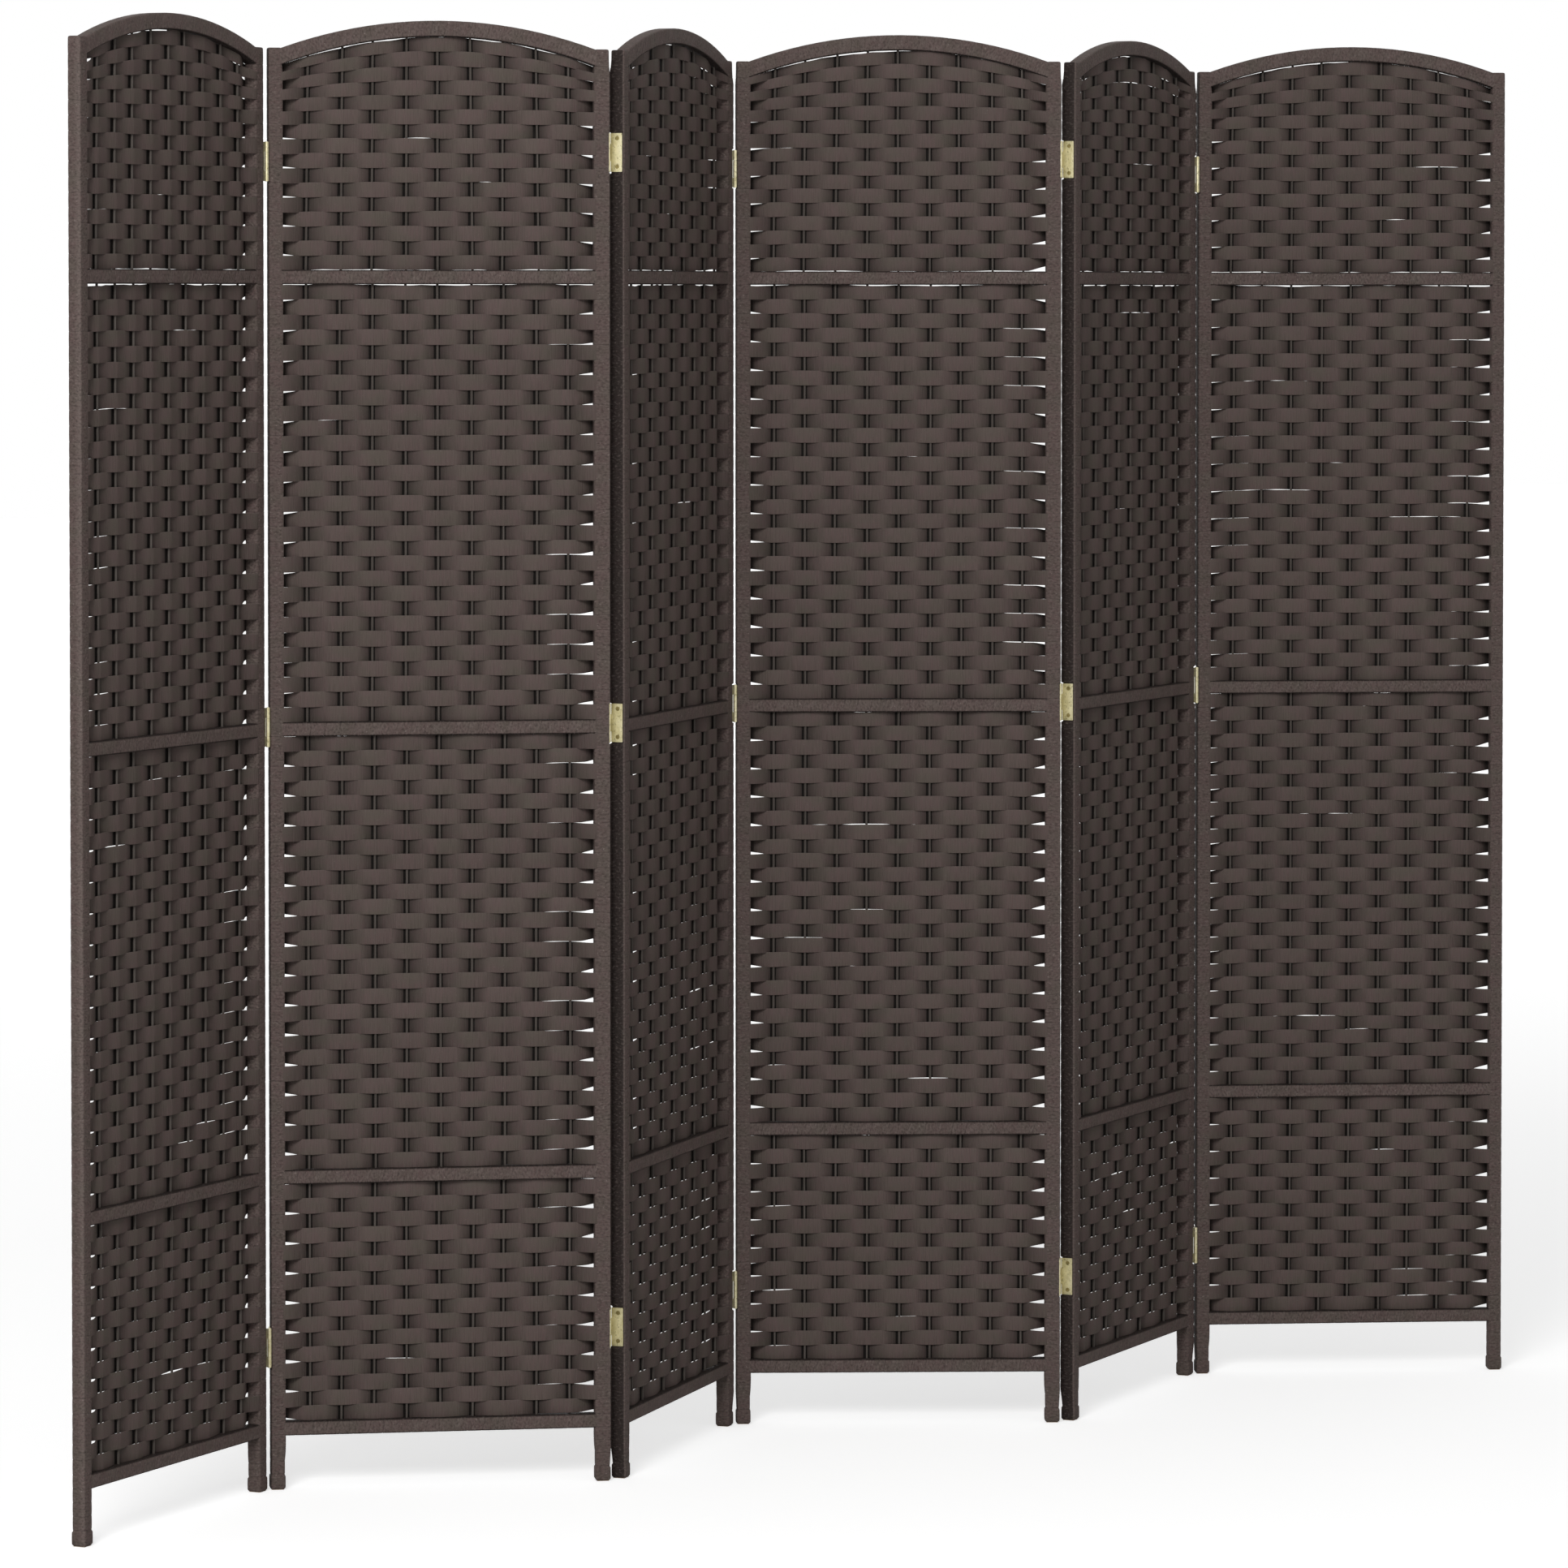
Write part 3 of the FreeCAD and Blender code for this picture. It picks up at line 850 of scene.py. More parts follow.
@dataclass(frozen=True)
class Sway:
    """How far the stakes of one zone stand off their even places."""

    STRAY = 0.9
    LEAN = 1.0
    MOST = 2.0
    DRAWN_TOGETHER = 2.4 * MM

    zone: Zone
    middles: Array
    leans: Array

    @classmethod
    def of(cls, panel: int, zone: Zone) -> "Sway":
        """Work out a zone's sway.

        Args:
            panel: The panel, counted from 1 at the left.
            zone: The woven field.

        Returns:
            The sway, in which the top rows of an arched field draw the stakes together.
        """
        rng = np.random.default_rng(1000 * panel + round(zone.floor / MM))
        middles = rng.normal(0, cls.STRAY, SIZES.stakes).clip(-cls.MOST, cls.MOST) * MM
        leans = rng.normal(0, cls.LEAN, SIZES.stakes).clip(-cls.MOST, cls.MOST) * MM
        if zone.is_arched:
            leans -= np.linspace(-1, 1, SIZES.stakes) * cls.DRAWN_TOGETHER
        return cls(zone, middles, leans)

    def at(self, x: Array, height: Array) -> Array:
        """Work out how far the weave is moved along the panel.

        Args:
            x: Places along the panel.
            height: Their heights.

        Returns:
            The moves.
        """
        places = [SIZES.inner_left, *SIZES.stake_places, SIZES.inner_right]
        share = (height - self.zone.floor) / (self.zone.ceiling - self.zone.floor) - 0.5
        middle = np.interp(x, places, [0, *self.middles, 0])
        return middle + share * np.interp(x, places, [0, *self.leans, 0])


@dataclass
class Stakes(PanelPiece):
    """A panel's stakes, as they lean in each of its woven fields."""

    REPLACED = "stakes"
    SLOT = "stake_wood"

    buried: float = 4 * MM

    def shape(self, pattern: TubePattern) -> Shape:
        """Work out the stakes, with a tube for each stake of each field.

        Args:
            pattern: The plain tubes.

        Returns:
            The shape.
        """
        stake = pattern.copy % SIZES.stakes
        middle = SIZES.stake_places[stake]
        angle = 2 * math.pi * pattern.side / pattern.sides
        share = pattern.ring / (pattern.rings - 1)
        x, z = middle + SIZES.stake_radius * np.cos(angle), np.zeros_like(middle)
        for index, zone in enumerate(zones()):
            here = pattern.copy // SIZES.stakes == index
            top = SIZES.arch_underside(middle) if zone.is_arched else zone.ceiling
            low, high = zone.floor - self.buried, top + self.buried
            height = low + (high - low) * share
            z = np.where(here, height, z)
            x = x + np.where(here, Sway.of(self.place.number, zone).at(middle, height), 0)
        return Shape("leaning_stakes", np.stack([x, SIZES.stake_radius * np.sin(angle), z], axis=1), {})


@dataclass
class WovenField(PanelPiece):
    """The strips of one zone, woven past the stakes and turned round the posts."""

    REPLACED = "weave"
    SLOT = "fibre_strip"

    zone: Zone
    seed: int
    thickness: float = 1.2 * MM
    bevel: float = 0.35 * MM
    depth: float = 2.2 * MM
    crest_rounding: float = 9 * MM
    groove_depth: float = 0.5 * MM
    crest_bump: float = 0.25 * MM
    crest_reach: float = 5.5 * MM
    groove_right: float = 2.9 * MM
    crest_overlap: float = 0.26 * MM
    meeting_overlap: float = 0.27 * MM
    proud_of_post: float = 0.22 * MM
    end_sink: float = 1 * MM
    smallest_height: float = 1.5 * MM
    shared_wave: float = 1.3 * MM
    shared_wavelength: float = 900 * MM
    own_wave: float = 0.3 * MM
    own_wavelength: float = 250 * MM
    dip: Span = (0.6 * MM, 1.8 * MM)
    dip_reach: float = 30 * MM
    squeezed_share: float = 0.38
    crown_slit_fade: float = 120 * MM
    rail_slit_shut: float = 0.3 * MM
    wedge_shares: Span = (0.6, 0.95)
    wedge_share_spread: float = 0.35
    wedge_height: float = 3.3 * MM
    wedge_swing: float = 1.1 * MM
    wedge_jitter: float = 0.6 * MM
    wedge_reach: Span = (16 * MM, 27 * MM)
    wedgeless_share: float = 0.72
    wedgeless_fade: float = 0.12
    long_wedge_chance: float = 0.35
    long_wedge_share: float = 0.42
    slit_chance: float = 0.09
    slit_place: Span = (40 * MM, 360 * MM)
    slit_half_length: Span = (20 * MM, 80 * MM)
    slit_height: Span = (0.8 * MM, 1.7 * MM)
    stake_shade: float = 0.64
    stake_shade_core: float = 4 * MM
    stake_shade_reach: float = 11 * MM
    post_shade: float = 0.9
    post_shade_reach: Span = (1 * MM, 12 * MM)
    underside_shade: float = 0.45
    end_rings: tuple[float, ...] = (10, 13, 14.8, 16.4, 17.6, 19.2, 21.4, 24.4, 28, 32)
    stake_rings: tuple[float, ...] = (-11, -1.6, 0, 1.6, 2.9, 3.3, 6.4, 11)

    @property
    def groove_left(self) -> float:
        """Left end of the shade beside a stake, further from it on the panels that recede."""
        return (-6.2 if self.place.number % 2 else -4.0) * MM

    def ring_places(self) -> list[float]:
        """Set out a strip's rings: at its ends, at each stake and halfway between.

        Returns:
            The places along the panel.
        """
        ends = [offset * MM for offset in self.end_rings]
        middles = list(SIZES.stake_places)
        places = ends + [SIZES.panel_width - offset for offset in ends]
        left = self.groove_left / MM
        rings = (*self.stake_rings, left, left - 0.4, (left - 11) / 2)
        places += [stake + offset * MM for stake in middles for offset in rings]
        places += [stake + SIZES.stake_pitch / 2 for stake in middles[:-1]]
        return sorted(round(x, 6) for x in places)

    def shape(self, pattern: TubePattern) -> Shape:
        """Work out the field's strips, with a tube for each row.

        Args:
            pattern: The plain tubes.

        Returns:
            The shape.
        """
        self.rng = np.random.default_rng(self.seed)
        self.x = padded(self.ring_places(), pattern.rings)
        if len(self.x) != pattern.rings:
            raise ValueError(f"{len(self.x)} places for {pattern.rings} rings")
        self.to_post = np.minimum(self.x - SIZES.inner_left, SIZES.inner_right - self.x)
        lowest = self.zone.first_passing(self.place.number)
        self.passing = lowest.value * (-1) ** np.arange(self.zone.rows)
        points, painted_shade, rim = self._sections(pattern, self._edges(), self._faces())
        points[:, 0] += Sway.of(self.place.number, self.zone).at(points[:, 0], points[:, 2])
        shifts = self.rng.uniform(0, 40, self.zone.rows)
        tones = self.rng.normal(0, 0.45, self.zone.rows).clip(-1, 1)
        height = (self.zone.ceiling - self.zone.floor) / self.zone.rows
        edge = np.arange(4) * MM / 2
        around = np.concatenate([[0], height + edge, 2 * height + edge[-1] + edge])
        marks = {"tone": tones[pattern.copy], "painted_shade": painted_shade, "rim": rim}
        along = self.x[pattern.ring] + shifts[pattern.copy]
        return Shape(f"{self.zone.name}_weave", points, marks, along, around, tape_runs_along=True)

    def _edges(self) -> Pair:
        """Heights of each strip's lower and upper edge along the panel.

        Returns:
            Two arrays, a row for each strip.
        """
        x, rows, rng = self.x, self.zone.rows, self.rng
        share = np.linspace(0, 1, rows + 1)[:, None]
        floor, ceiling = self.zone.floor, self.zone.ceiling
        lines = floor + (ceiling - floor) * share + np.zeros(len(x))
        loose = np.sin(math.pi * share)
        lines += loose * self.shared_wave * wander(x, rng, self.shared_wavelength)
        for row in range(1, rows):
            lines[row] += self.own_wave * wander(x, rng, self.own_wavelength)
        near = np.exp(-((self.to_post.clip(0) / self.dip_reach) ** 2))
        lines -= loose**0.5 * near * rng.uniform(*self.dip)
        if self.zone.is_arched:
            fall = self.zone.ceiling - SIZES.arch_underside(x)
            lines -= fall * np.clip(1 - (1 - share) / self.squeezed_share, 0, 1) ** 1.7
        above, below = self._gaps()
        low = lines[:-1] + below
        high = lines[1:] - above
        crest = eased(np.abs(self._zigzag()), 0, 0.9) * self.crest_overlap
        crest = np.where(self.to_post > 0, crest + self.meeting_overlap, self.meeting_overlap)
        low[1:] -= crest
        high[:-1] += crest
        return low, np.maximum(high, low + self.smallest_height)

    def _gaps(self) -> Pair:
        """How far each strip's edges stand back from the lines between the rows.

        Returns:
            Two arrays with a row for each strip, for its upper and its lower edge.
        """
        x, rows, rng = self.x, self.zone.rows, self.rng
        to_post = self.to_post.clip(0)
        above, below = np.zeros((2, rows, len(x)))
        below[0] = self._slack(self.zone.bottom_slack)
        above[-1] = self._slack(self.zone.top_slack)
        middle = SIZES.panel_width / 2
        if self.zone.is_arched:
            off = np.abs(x - middle * rng.uniform(0.8, 1.1))
            above[-1] *= np.clip(1.5 - off / self.crown_slit_fade, 0, 1)
        ends = (x < middle, x >= middle)
        turning = np.flatnonzero(self.passing == Passing.IN_FRONT.value)
        for end, side, smallest in zip(ends, self.zone.wedges(self.place.number), self.wedge_shares):
            size = smallest + rng.uniform(0, self.wedge_share_spread)
            long = rng.random() < self.long_wedge_chance
            swing = wander(np.linspace(0, 1, rows), rng, 0.8)
            for row in turning:
                jitter = self.wedge_jitter * rng.uniform(-1, 1)
                tall = size * (self.wedge_height + self.wedge_swing * swing[row] + jitter)
                wedge = np.clip(1 - to_post / rng.uniform(*self.wedge_reach), 0, 1)
                if long and rng.random() < 0.5:
                    tail = np.clip(2 - to_post / SIZES.stake_pitch, 0, 1)
                    wedge = np.maximum(wedge, self.long_wedge_share * tail)
                wedge = np.where(end, wedge, 0) * max(tall, 0)
                wedge *= self._room_under_arch(row)
                if side is WedgeSide.ABOVE:
                    above[row] += wedge
                else:
                    below[row] += wedge
        for row in range(1, rows):
            if rng.random() < self.slit_chance:
                centre, half = rng.uniform(*self.slit_place), rng.uniform(*self.slit_half_length)
                slit = np.clip(1 - np.abs(x - centre) / half, 0, 1) ** 0.5
                below[row] += slit * rng.uniform(*self.slit_height)
        return above, below

    def _slack(self, size: float) -> Array:
        """Leave an uneven slit along a rail, shut in places.

        Args:
            size: How high it is on the whole.

        Returns:
            Its height at each ring.
        """
        uneven = wander(self.x, self.rng, 0.23) + 0.6 * wander(self.x, self.rng, 0.06)
        shut = self.rail_slit_shut
        return np.clip(size * (0.55 + 0.8 * uneven) - shut, -shut, 1.15 * size)

    def _room_under_arch(self, row: int) -> float:
        """Share of a wedge's height that a row has room for where the arch squeezes it."""
        room = (self.wedgeless_share - (row + 1) / self.zone.rows) / self.wedgeless_fade
        return min(max(room, 0), 1) if self.zone.is_arched else 1

    def _zigzag(self) -> Array:
        """Swing a strip from stake to stake.

        Returns:
            Its swing at each ring, 1 at the first stake, -1 at the next and so on.
        """
        stake, offset = self._nearest_stake()
        span = math.hypot(SIZES.stake_pitch / 2, self.crest_rounding) - self.crest_rounding
        fall = (np.hypot(offset, self.crest_rounding) - self.crest_rounding) / span
        return (-1.0) ** stake * (1 - np.minimum(fall, 1))

    def _in_groove(self, offset: Array) -> Array:
        """Whether places at these distances past a stake lie in the hollow beside it."""
        return (offset >= self.groove_left - 1e-6) & (offset <= self.groove_right + 1e-6)

    def _nearest_stake(self) -> Pair:
        """For each ring, the nearest stake's number and the ring's distance past it."""
        stake = np.rint((self.x - SIZES.first_stake) / SIZES.stake_pitch).clip(0, SIZES.stakes - 1)
        return stake, self.x - SIZES.first_stake - stake * SIZES.stake_pitch

    def _faces(self) -> Pair:
        """Depth of each strip's front and back face along the panel.

        Returns:
            Two arrays, a row for each strip.
        """
        x = self.x
        line = self.depth * self._zigzag()
        last = SIZES.panel_width - SIZES.first_stake
        end_share = np.where(
            x < SIZES.panel_width / 2,
            (SIZES.first_stake - x) / (SIZES.first_stake - SIZES.inner_left),
            (x - last) / (SIZES.inner_right - last),
        )
        swing = eased(end_share, 0, 1)
        on_post = SIZES.post_depth / 2 + self.proud_of_post - self.thickness / 2
        sink = self.end_sink * np.clip((end_share - 1) / 0.2, 0, 1)
        ending = self.depth + (-on_post - self.depth) * swing + sink
        line = np.where(end_share > 0, ending, line)
        centre = self.passing[:, None] * line
        stake, offset = self._nearest_stake()
        side = self.passing[:, None] * (-1.0) ** stake
        groove = np.where(self._in_groove(offset), self.groove_depth, 0)
        bump = self.crest_bump * np.cos(np.minimum(np.abs(offset) / self.crest_reach, 1) * math.pi / 2) ** 2
        half = self.thickness / 2
        front = centre - half + np.where(side > 0, side * groove, side * bump)
        back = centre + half + np.where(side > 0, side * bump, side * groove)
        return front, back

    def _sections(self, pattern: TubePattern, edges: Pair, faces: Pair) -> tuple[Array, Array, Array]:
        """Put every vertex of the field's strips in place, in the panel's frame.

        Args:
            pattern: The plain tubes.
            edges: Heights of each strip's lower and upper edge.
            faces: Depths of its front and back face.

        Returns:
            The points, how much painted shade each gets beside the stakes, beside the posts and on its
            underside, and how much painted highlight it gets along its top edge.
        """
        row, ring, side = pattern.copy, pattern.ring, pattern.side
        bottom, top = (edge[row, ring] for edge in edges)
        near, far = (face[row, ring] for face in faces)
        bevel = np.minimum(self.bevel, (top - bottom) / 4)
        low, high, front, back = bottom + bevel, top - bevel, near + bevel, far - bevel
        heights = np.choose(side, [low, high, top, top, high, low, bottom, bottom])
        depths = np.choose(side, [far, far, back, front, near, near, front, back])
        points = np.stack([self.x[ring], depths, heights], axis=1)
        # Painted shade beside each stake: black in the hollow at its side, fading away from it.
        stake, offset = self._nearest_stake()
        past_core = (np.abs(offset) - self.stake_shade_core).clip(0)
        fade = self.stake_shade * np.exp(-past_core / self.stake_shade_reach)
        shade = np.where(self._in_groove(offset), 1, fade)
        stake_side = self.passing[row] * (-1.0) ** stake[ring]
        faces_front = (side >= 3) & (side <= 6)
        is_inner = np.where(stake_side > 0, faces_front, ~faces_front)
        painted_shade = np.where(is_inner, shade[ring], 0)
        # Painted shade where a strip turns behind a post.
        recess = self.post_shade * (1 - eased(self.to_post, *self.post_shade_reach))
        recess *= self.to_post > -1 * MM
        goes_behind = self.passing[row] == Passing.IN_FRONT.value
        is_recessed = np.where(goes_behind, faces_front, ~faces_front)
        painted_shade = np.maximum(painted_shade, np.where(is_recessed, recess[ring], 0))
        # Painted shade on each strip's underside.
        painted_shade = np.maximum(painted_shade, self.underside_shade * (side >= 6))
        # Painted highlight along each strip's top edge, weaker on the faces just below it.
        rim = 1.0 * ((side == 2) | (side == 3)) + 0.2 * ((side == 1) | (side == 4))
        return points, painted_shade, rim


@dataclass
class Winding(PanelPiece):
    """Fibre tape wound round a bar, turn after turn."""

    REPLACED = "frame_wraps"
    SLOT = "fibre_wrap"
    SHARP_ANGLE = 60.0

    seed: int
    turn: float = 16.8 * MM
    seam_depth: float = 0.22 * MM
    swell: float = 0.09 * MM
    seam_half_width: float = 0.8 * MM
    tone_wave: float = 0.5
    tone_wavelength: float = 110 * MM
    # Painted shade in the seams between turns.
    crease_shade: float = 0.36
    crease_wavelength: float = 130 * MM
    # Painted highlight on the shoulders of each turn.
    turn_highlight: float = 0.2

    def even_seams(self, start: float, end: float) -> list[float]:
        """Places of the seams between equal turns, from start to end."""
        turns = max(1, round((end - start) / self.turn))
        return list(np.linspace(start, end, turns + 1))

    def ripples(self, seams: list[float]) -> tuple[list[float], list[float]]:
        """Ring places of the turns between seams, and how far each ring stands in.

        Args:
            seams: Places of the seams, in order.

        Returns:
            The places, and the insets at them.
        """
        places: list[float] = []
        insets: list[float] = []
        for low, high in zip(seams, seams[1:]):
            for place, inset in (
                (low, self.seam_depth),
                (low + self.seam_half_width, 0),
                ((low + high) / 2, -self.swell),
                (high - self.seam_half_width, 0),
            ):
                places.append(place)
                insets.append(inset)
        return places + [seams[-1]], insets + [0]

    def wound(
        self,
        name: str,
        points: Array,
        along: Array,
        section: Array,
        inset: Array,
        shaded: Array,
        highlight_and_wear: Array,
    ) -> Shape:
        """The shape of a sleeve, with its fibre map and its marks.

        Args:
            name: What the bar is called.
            points: The sleeve's points in the panel's frame.
            along: Distance along the bar for each vertex.
            section: The bar's outline.
            inset: How far each vertex stands in.
            shaded: How much painted shade each vertex gets: beside the next post on a post, along the long
                edges on a rail.
            highlight_and_wear: How pale each vertex is: a painted highlight on a post's front corner,
                rubbed pale patches on a rail.

        Returns:
            The shape.
        """
        rng = np.random.default_rng(self.seed)
        shifted = along + rng.uniform(0, 30)
        tone = self.tone_wave * wander(along, rng, self.tone_wavelength)
        # Painted shade along the seams between turns, uneven along the bar.
        seams = (inset >= self.seam_depth * 0.9) & (inset <= self.seam_depth * 1.1)
        uneven = (0.6 + 0.5 * wander(along, rng, self.crease_wavelength)).clip(0)
        creases = self.crease_shade * seams * uneven
        # Painted highlight on the shoulders of each turn, joined with the highlight and wear passed in.
        rim = np.maximum(self.turn_highlight * (np.abs(inset) < 1e-7), highlight_and_wear)
        marks = {"tone": tone, "painted_shade": np.maximum(creases, shaded), "rim": rim}
        return Shape(f"{name}_wrap", points, marks, shifted, girth_table(section))


@dataclass
class WoundPost(Winding):
    """The fibre sleeve of a post, thickened at its foot and closed over its top."""

    end: PostEnd = PostEnd.LEFT
    corner_radius: float = 2.1 * MM
    lean: float = 0.16
    lean_wavelength: float = 310 * MM
    last_seam: float = 3 * MM
    last_turn: float = 5 * MM
    end_swell: float = 1.1 * MM
    corner_swell: float = 2.2 * MM
    inner_swell: float = 1.2 * MM
    # Painted shade beside the next post, and a painted highlight on the front outer corner away from valley
    # joints.
    meeting_shade: float = 0.85
    meeting_edge: Span = (0.93, 1)
    front_reach: float = 0.14
    corner_highlight: float = 0.5
    highlight_edge: Span = (0.7, 0.85)
    swell_edge: Span = (0.6, 0.95)
    straight_ends: Fade = ((40 * MM, 70 * MM), (1.63, 1.65))
    swollen_outside: Fade = ((20 * MM, 40 * MM), (1.64, 1.655))
    swollen_inside: Fade = ((30 * MM, 50 * MM), (1.64, 1.655))

    @property
    def joint(self) -> int:
        """The joint beside this post, counted from 1 at the left, or 0 at the screen's own ends."""
        joint = self.place.number - (self.end is PostEnd.LEFT)
        return joint if 0 < joint < SIZES.panels else 0

    @property
    def outward(self) -> int:
        """Direction of the post's end face along the panel."""
        return 1 if self.end is PostEnd.RIGHT else -1

    def shape(self, pattern: TubePattern) -> Shape:
        """Work out the sleeve, with slanted turns between its foot and its top.

        Args:
            pattern: The plain tube.

        Returns:
            The shape.
        """
        rng = np.random.default_rng(self.seed)
        known, known_insets = np.array(sorted(self._profile())).T
        z = padded(list(known), pattern.rings)[pattern.ring]
        inset = np.interp(z, known, known_insets)
        section = rounded_section(SIZES.post_width, SIZES.post_depth, self.corner_radius)
        spread = section[pattern.side]
        x = spread[:, 0] * (1 - 2 * inset / SIZES.post_width)
        y = spread[:, 1] * (1 - 2 * inset / SIZES.post_depth)
        x, y = self._meeting_neighbour(x, y, z)
        slope = self.lean * wander(z, rng, self.lean_wavelength)
        height = z + slope * x * np.where(y < 0, 1, -1) * self._between(z, *self.straight_ends)
        middle = SIZES.post_width / 2
        if self.end is PostEnd.RIGHT:
            middle = SIZES.panel_width - middle
        points = np.stack([x + middle, y, height], axis=1)
        return self.wound(f"{self.end.value}_post", points, z, section, inset, *self._meeting_marks(spread))

    @staticmethod
    def _between(height: Array, foot: Span, top: Span) -> Array:
        """Shares eased in over the foot's heights and out over the top's."""
        return eased(height, *foot) * (1 - eased(height, *top))

    def _meeting_marks(self, spread: Array) -> Pair:
        """Paint shade on the post beside the next one, and a painted highlight on its front corner where
        that stands out.

        Args:
            spread: Each vertex's place in the section.

        Returns:
            How much painted shade and how much painted highlight each vertex gets.
        """
        at_end = self.outward * spread[:, 0] / (SIZES.post_width / 2)
        is_front = spread[:, 1] < 0
        stands_out = self.joint % 2 == 0
        reaches_in = 0 if stands_out else self.front_reach * is_front
        # Painted shade on the end face beside the next post, reaching round onto the front corner at valley
        # joints.
        dark = self.meeting_shade * eased(at_end + reaches_in, *self.meeting_edge) * (self.joint > 0)
        # Painted highlight on the front outer corner, everywhere but at valley joints.
        highlight_and_wear = self.corner_highlight * eased(at_end, *self.highlight_edge) * (is_front & stands_out)
        return dark * (1 - eased(highlight_and_wear, 0, 0.3) * (at_end < 0.99)), highlight_and_wear

    def _profile(self) -> list[Span]:
        """Set out the sleeve's rings: its foot, its turns, its top and the flats behind its hinges.

        Returns:
            The rings' heights and how far each stands in.
        """
        base, foot, top = SIZES.floor_gap, SIZES.foot_height, SIZES.post_height
        fields = zones()
        seams = self.even_seams(base + foot + 2 * MM, fields[0].floor)
        for field in fields:
            seams += list(np.linspace(field.floor, field.ceiling, field.rows + 1))
        last = top - self.last_seam
        seams = [seam for seam in seams if seam < last - self.last_turn] + [last]
        places, insets = self.ripples(seams)
        grown = -SIZES.foot_growth
        profile = [
            (base, 1.3 * MM),
            (base + 0.7 * MM, 0.2 * MM),
            (base + 2.2 * MM, grown),
            (base + foot / 2, grown - 0.1 * MM),
            (base + foot - 1 * MM, grown),
            (base + foot + 0.6 * MM, self.seam_depth / 2),
            (top - 1.6 * MM, 0.1 * MM),
            (top - 0.4 * MM, 0.6 * MM),
            (top, 2 * MM),
        ]
        known_places = np.array(places)
        for middle in SIZES.hinge_heights(self.joint) if self.joint else []:
            half = SIZES.hinge_half_height
            step = SIZES.hinge_recess_step
            for place in (middle - half - step, middle - half, middle + half, middle + half + step):
                profile.append((place, float(np.interp(place, known_places, insets))))
        return profile + list(zip(places, insets))

    def _meeting_neighbour(self, x: Array, y: Array, height: Array) -> Pair:
        """Thicken the side that meets the next panel's post, but not behind the hinges.

        Args:
            x: Place of each vertex across the post.
            y: Its depth.
            height: Its height.

        Returns:
            The moved places and depths.
        """
        if not self.joint:
            return x, y
        away = np.full_like(height, 1)
        for middle in SIZES.hinge_heights(self.joint):
            off = np.abs(height - middle) - SIZES.hinge_half_height
            away *= eased(off, 0, SIZES.hinge_recess_step)
        snug = SIZES.snugness[self.joint - 1] * away * self._between(height, *self.swollen_outside)
        pin_side = -1 if self.joint % 2 else 1
        at_end = np.clip(self.outward * x / (SIZES.post_width / 2), -1, 1)
        at_pin = np.clip(pin_side * y / (SIZES.post_depth / 2), 0, 1)
        inner = self._between(height, *self.swollen_inside)
        x = x + self.outward * self.end_swell * snug * eased(at_end, *self.swell_edge)
        x = x - self.outward * self.inner_swell * inner * eased(-at_end, *self.swell_edge)
        y = y + pin_side * self.corner_swell * snug * eased(at_pin, *self.swell_edge) * (0.5 + 0.5 * at_end)
        return x, y


@dataclass
class WoundRail(Winding):
    """The fibre sleeve of a straight cross rail."""

    name: str = "rail"
    height: float = 0.0
    corner_radius: float = 1.9 * MM
    lean: float = 0.24
    lean_wavelength: float = 200 * MM
    buried: float = 1.5 * MM
    seam_depth: float = 0.18 * MM
    swell: float = 0.06 * MM
    straight_ends: Span = (2 * MM, 14 * MM)
    # Painted shade along the long edges where they turn in to the weave.
    edge_shade: float = 0.95
    edge_turn: Span = (0.8, 0.93)
    rubbing: float = 0.45
    rubbing_seed: int = 700

    @property
    def size(self) -> float:
        """The bar's size across the weave."""
        return SIZES.rail_height

    @property
    def ends(self) -> Span:
        """Where the sleeve starts and ends along the bar."""
        return SIZES.inner_left - self.buried, SIZES.inner_right + self.buried

    def laid(self, along: Array, spread: Array) -> Array:
        """Points of the sleeve in the panel's frame."""
        return np.stack([along, spread[:, 0], spread[:, 1] + self.height], axis=1)

    def shape(self, pattern: TubePattern) -> Shape:
        """Work out the sleeve, with slanted turns from end to end.

        Args:
            pattern: The plain tube.

        Returns:
            The shape.
        """
        section = rounded_section(SIZES.rail_depth, self.size, self.corner_radius)
        along, inset, spread = self.turned(pattern, section)
        points = self.laid(along, spread)
        return self.wound(
            self.name, points, along, section, inset, self.edge_marks(spread), self.rubbed(along)
        )

    def edge_marks(self, spread: Array) -> Array:
        """How much painted shade each vertex gets where the bar's long edges turn in to the weave."""
        share = np.abs(spread[:, 1]) / np.abs(spread[:, 1]).max()
        return self.edge_shade * eased(share, *self.edge_turn)

    def rubbed(self, along: Array) -> Array:
        """How pale each vertex is rubbed, in small patches."""
        rng = np.random.default_rng(self.seed + self.rubbing_seed)
        return self.rubbing * rng.uniform(0, 1, len(along)) ** 2

    def turned(self, pattern: TubePattern, section: Array) -> tuple[Array, Array, Array]:
        """Lay slanted turns along the bar.

        Args:
            pattern: The plain tube.
            section: The bar's outline, as depth and height.

        Returns:
            Each vertex's place along the bar, its inset, and its place in the section.
        """
        rng = np.random.default_rng(self.seed)
        start, end = self.ends
        places, insets = self.ripples(self.even_seams(start, end))
        along = padded(places, pattern.rings)
        inset = np.interp(along, places, insets)[pattern.ring]
        spread = section[pattern.side]
        spread = spread * (1 - inset[:, None] / np.abs(section).max(0))
        along = along[pattern.ring]
        inside = eased(np.minimum(along - start, end - along), *self.straight_ends)
        slope = self.lean * (1 + 0.5 * wander(along, rng, self.lean_wavelength))
        return along + slope * spread[:, 1] * inside, inset, spread


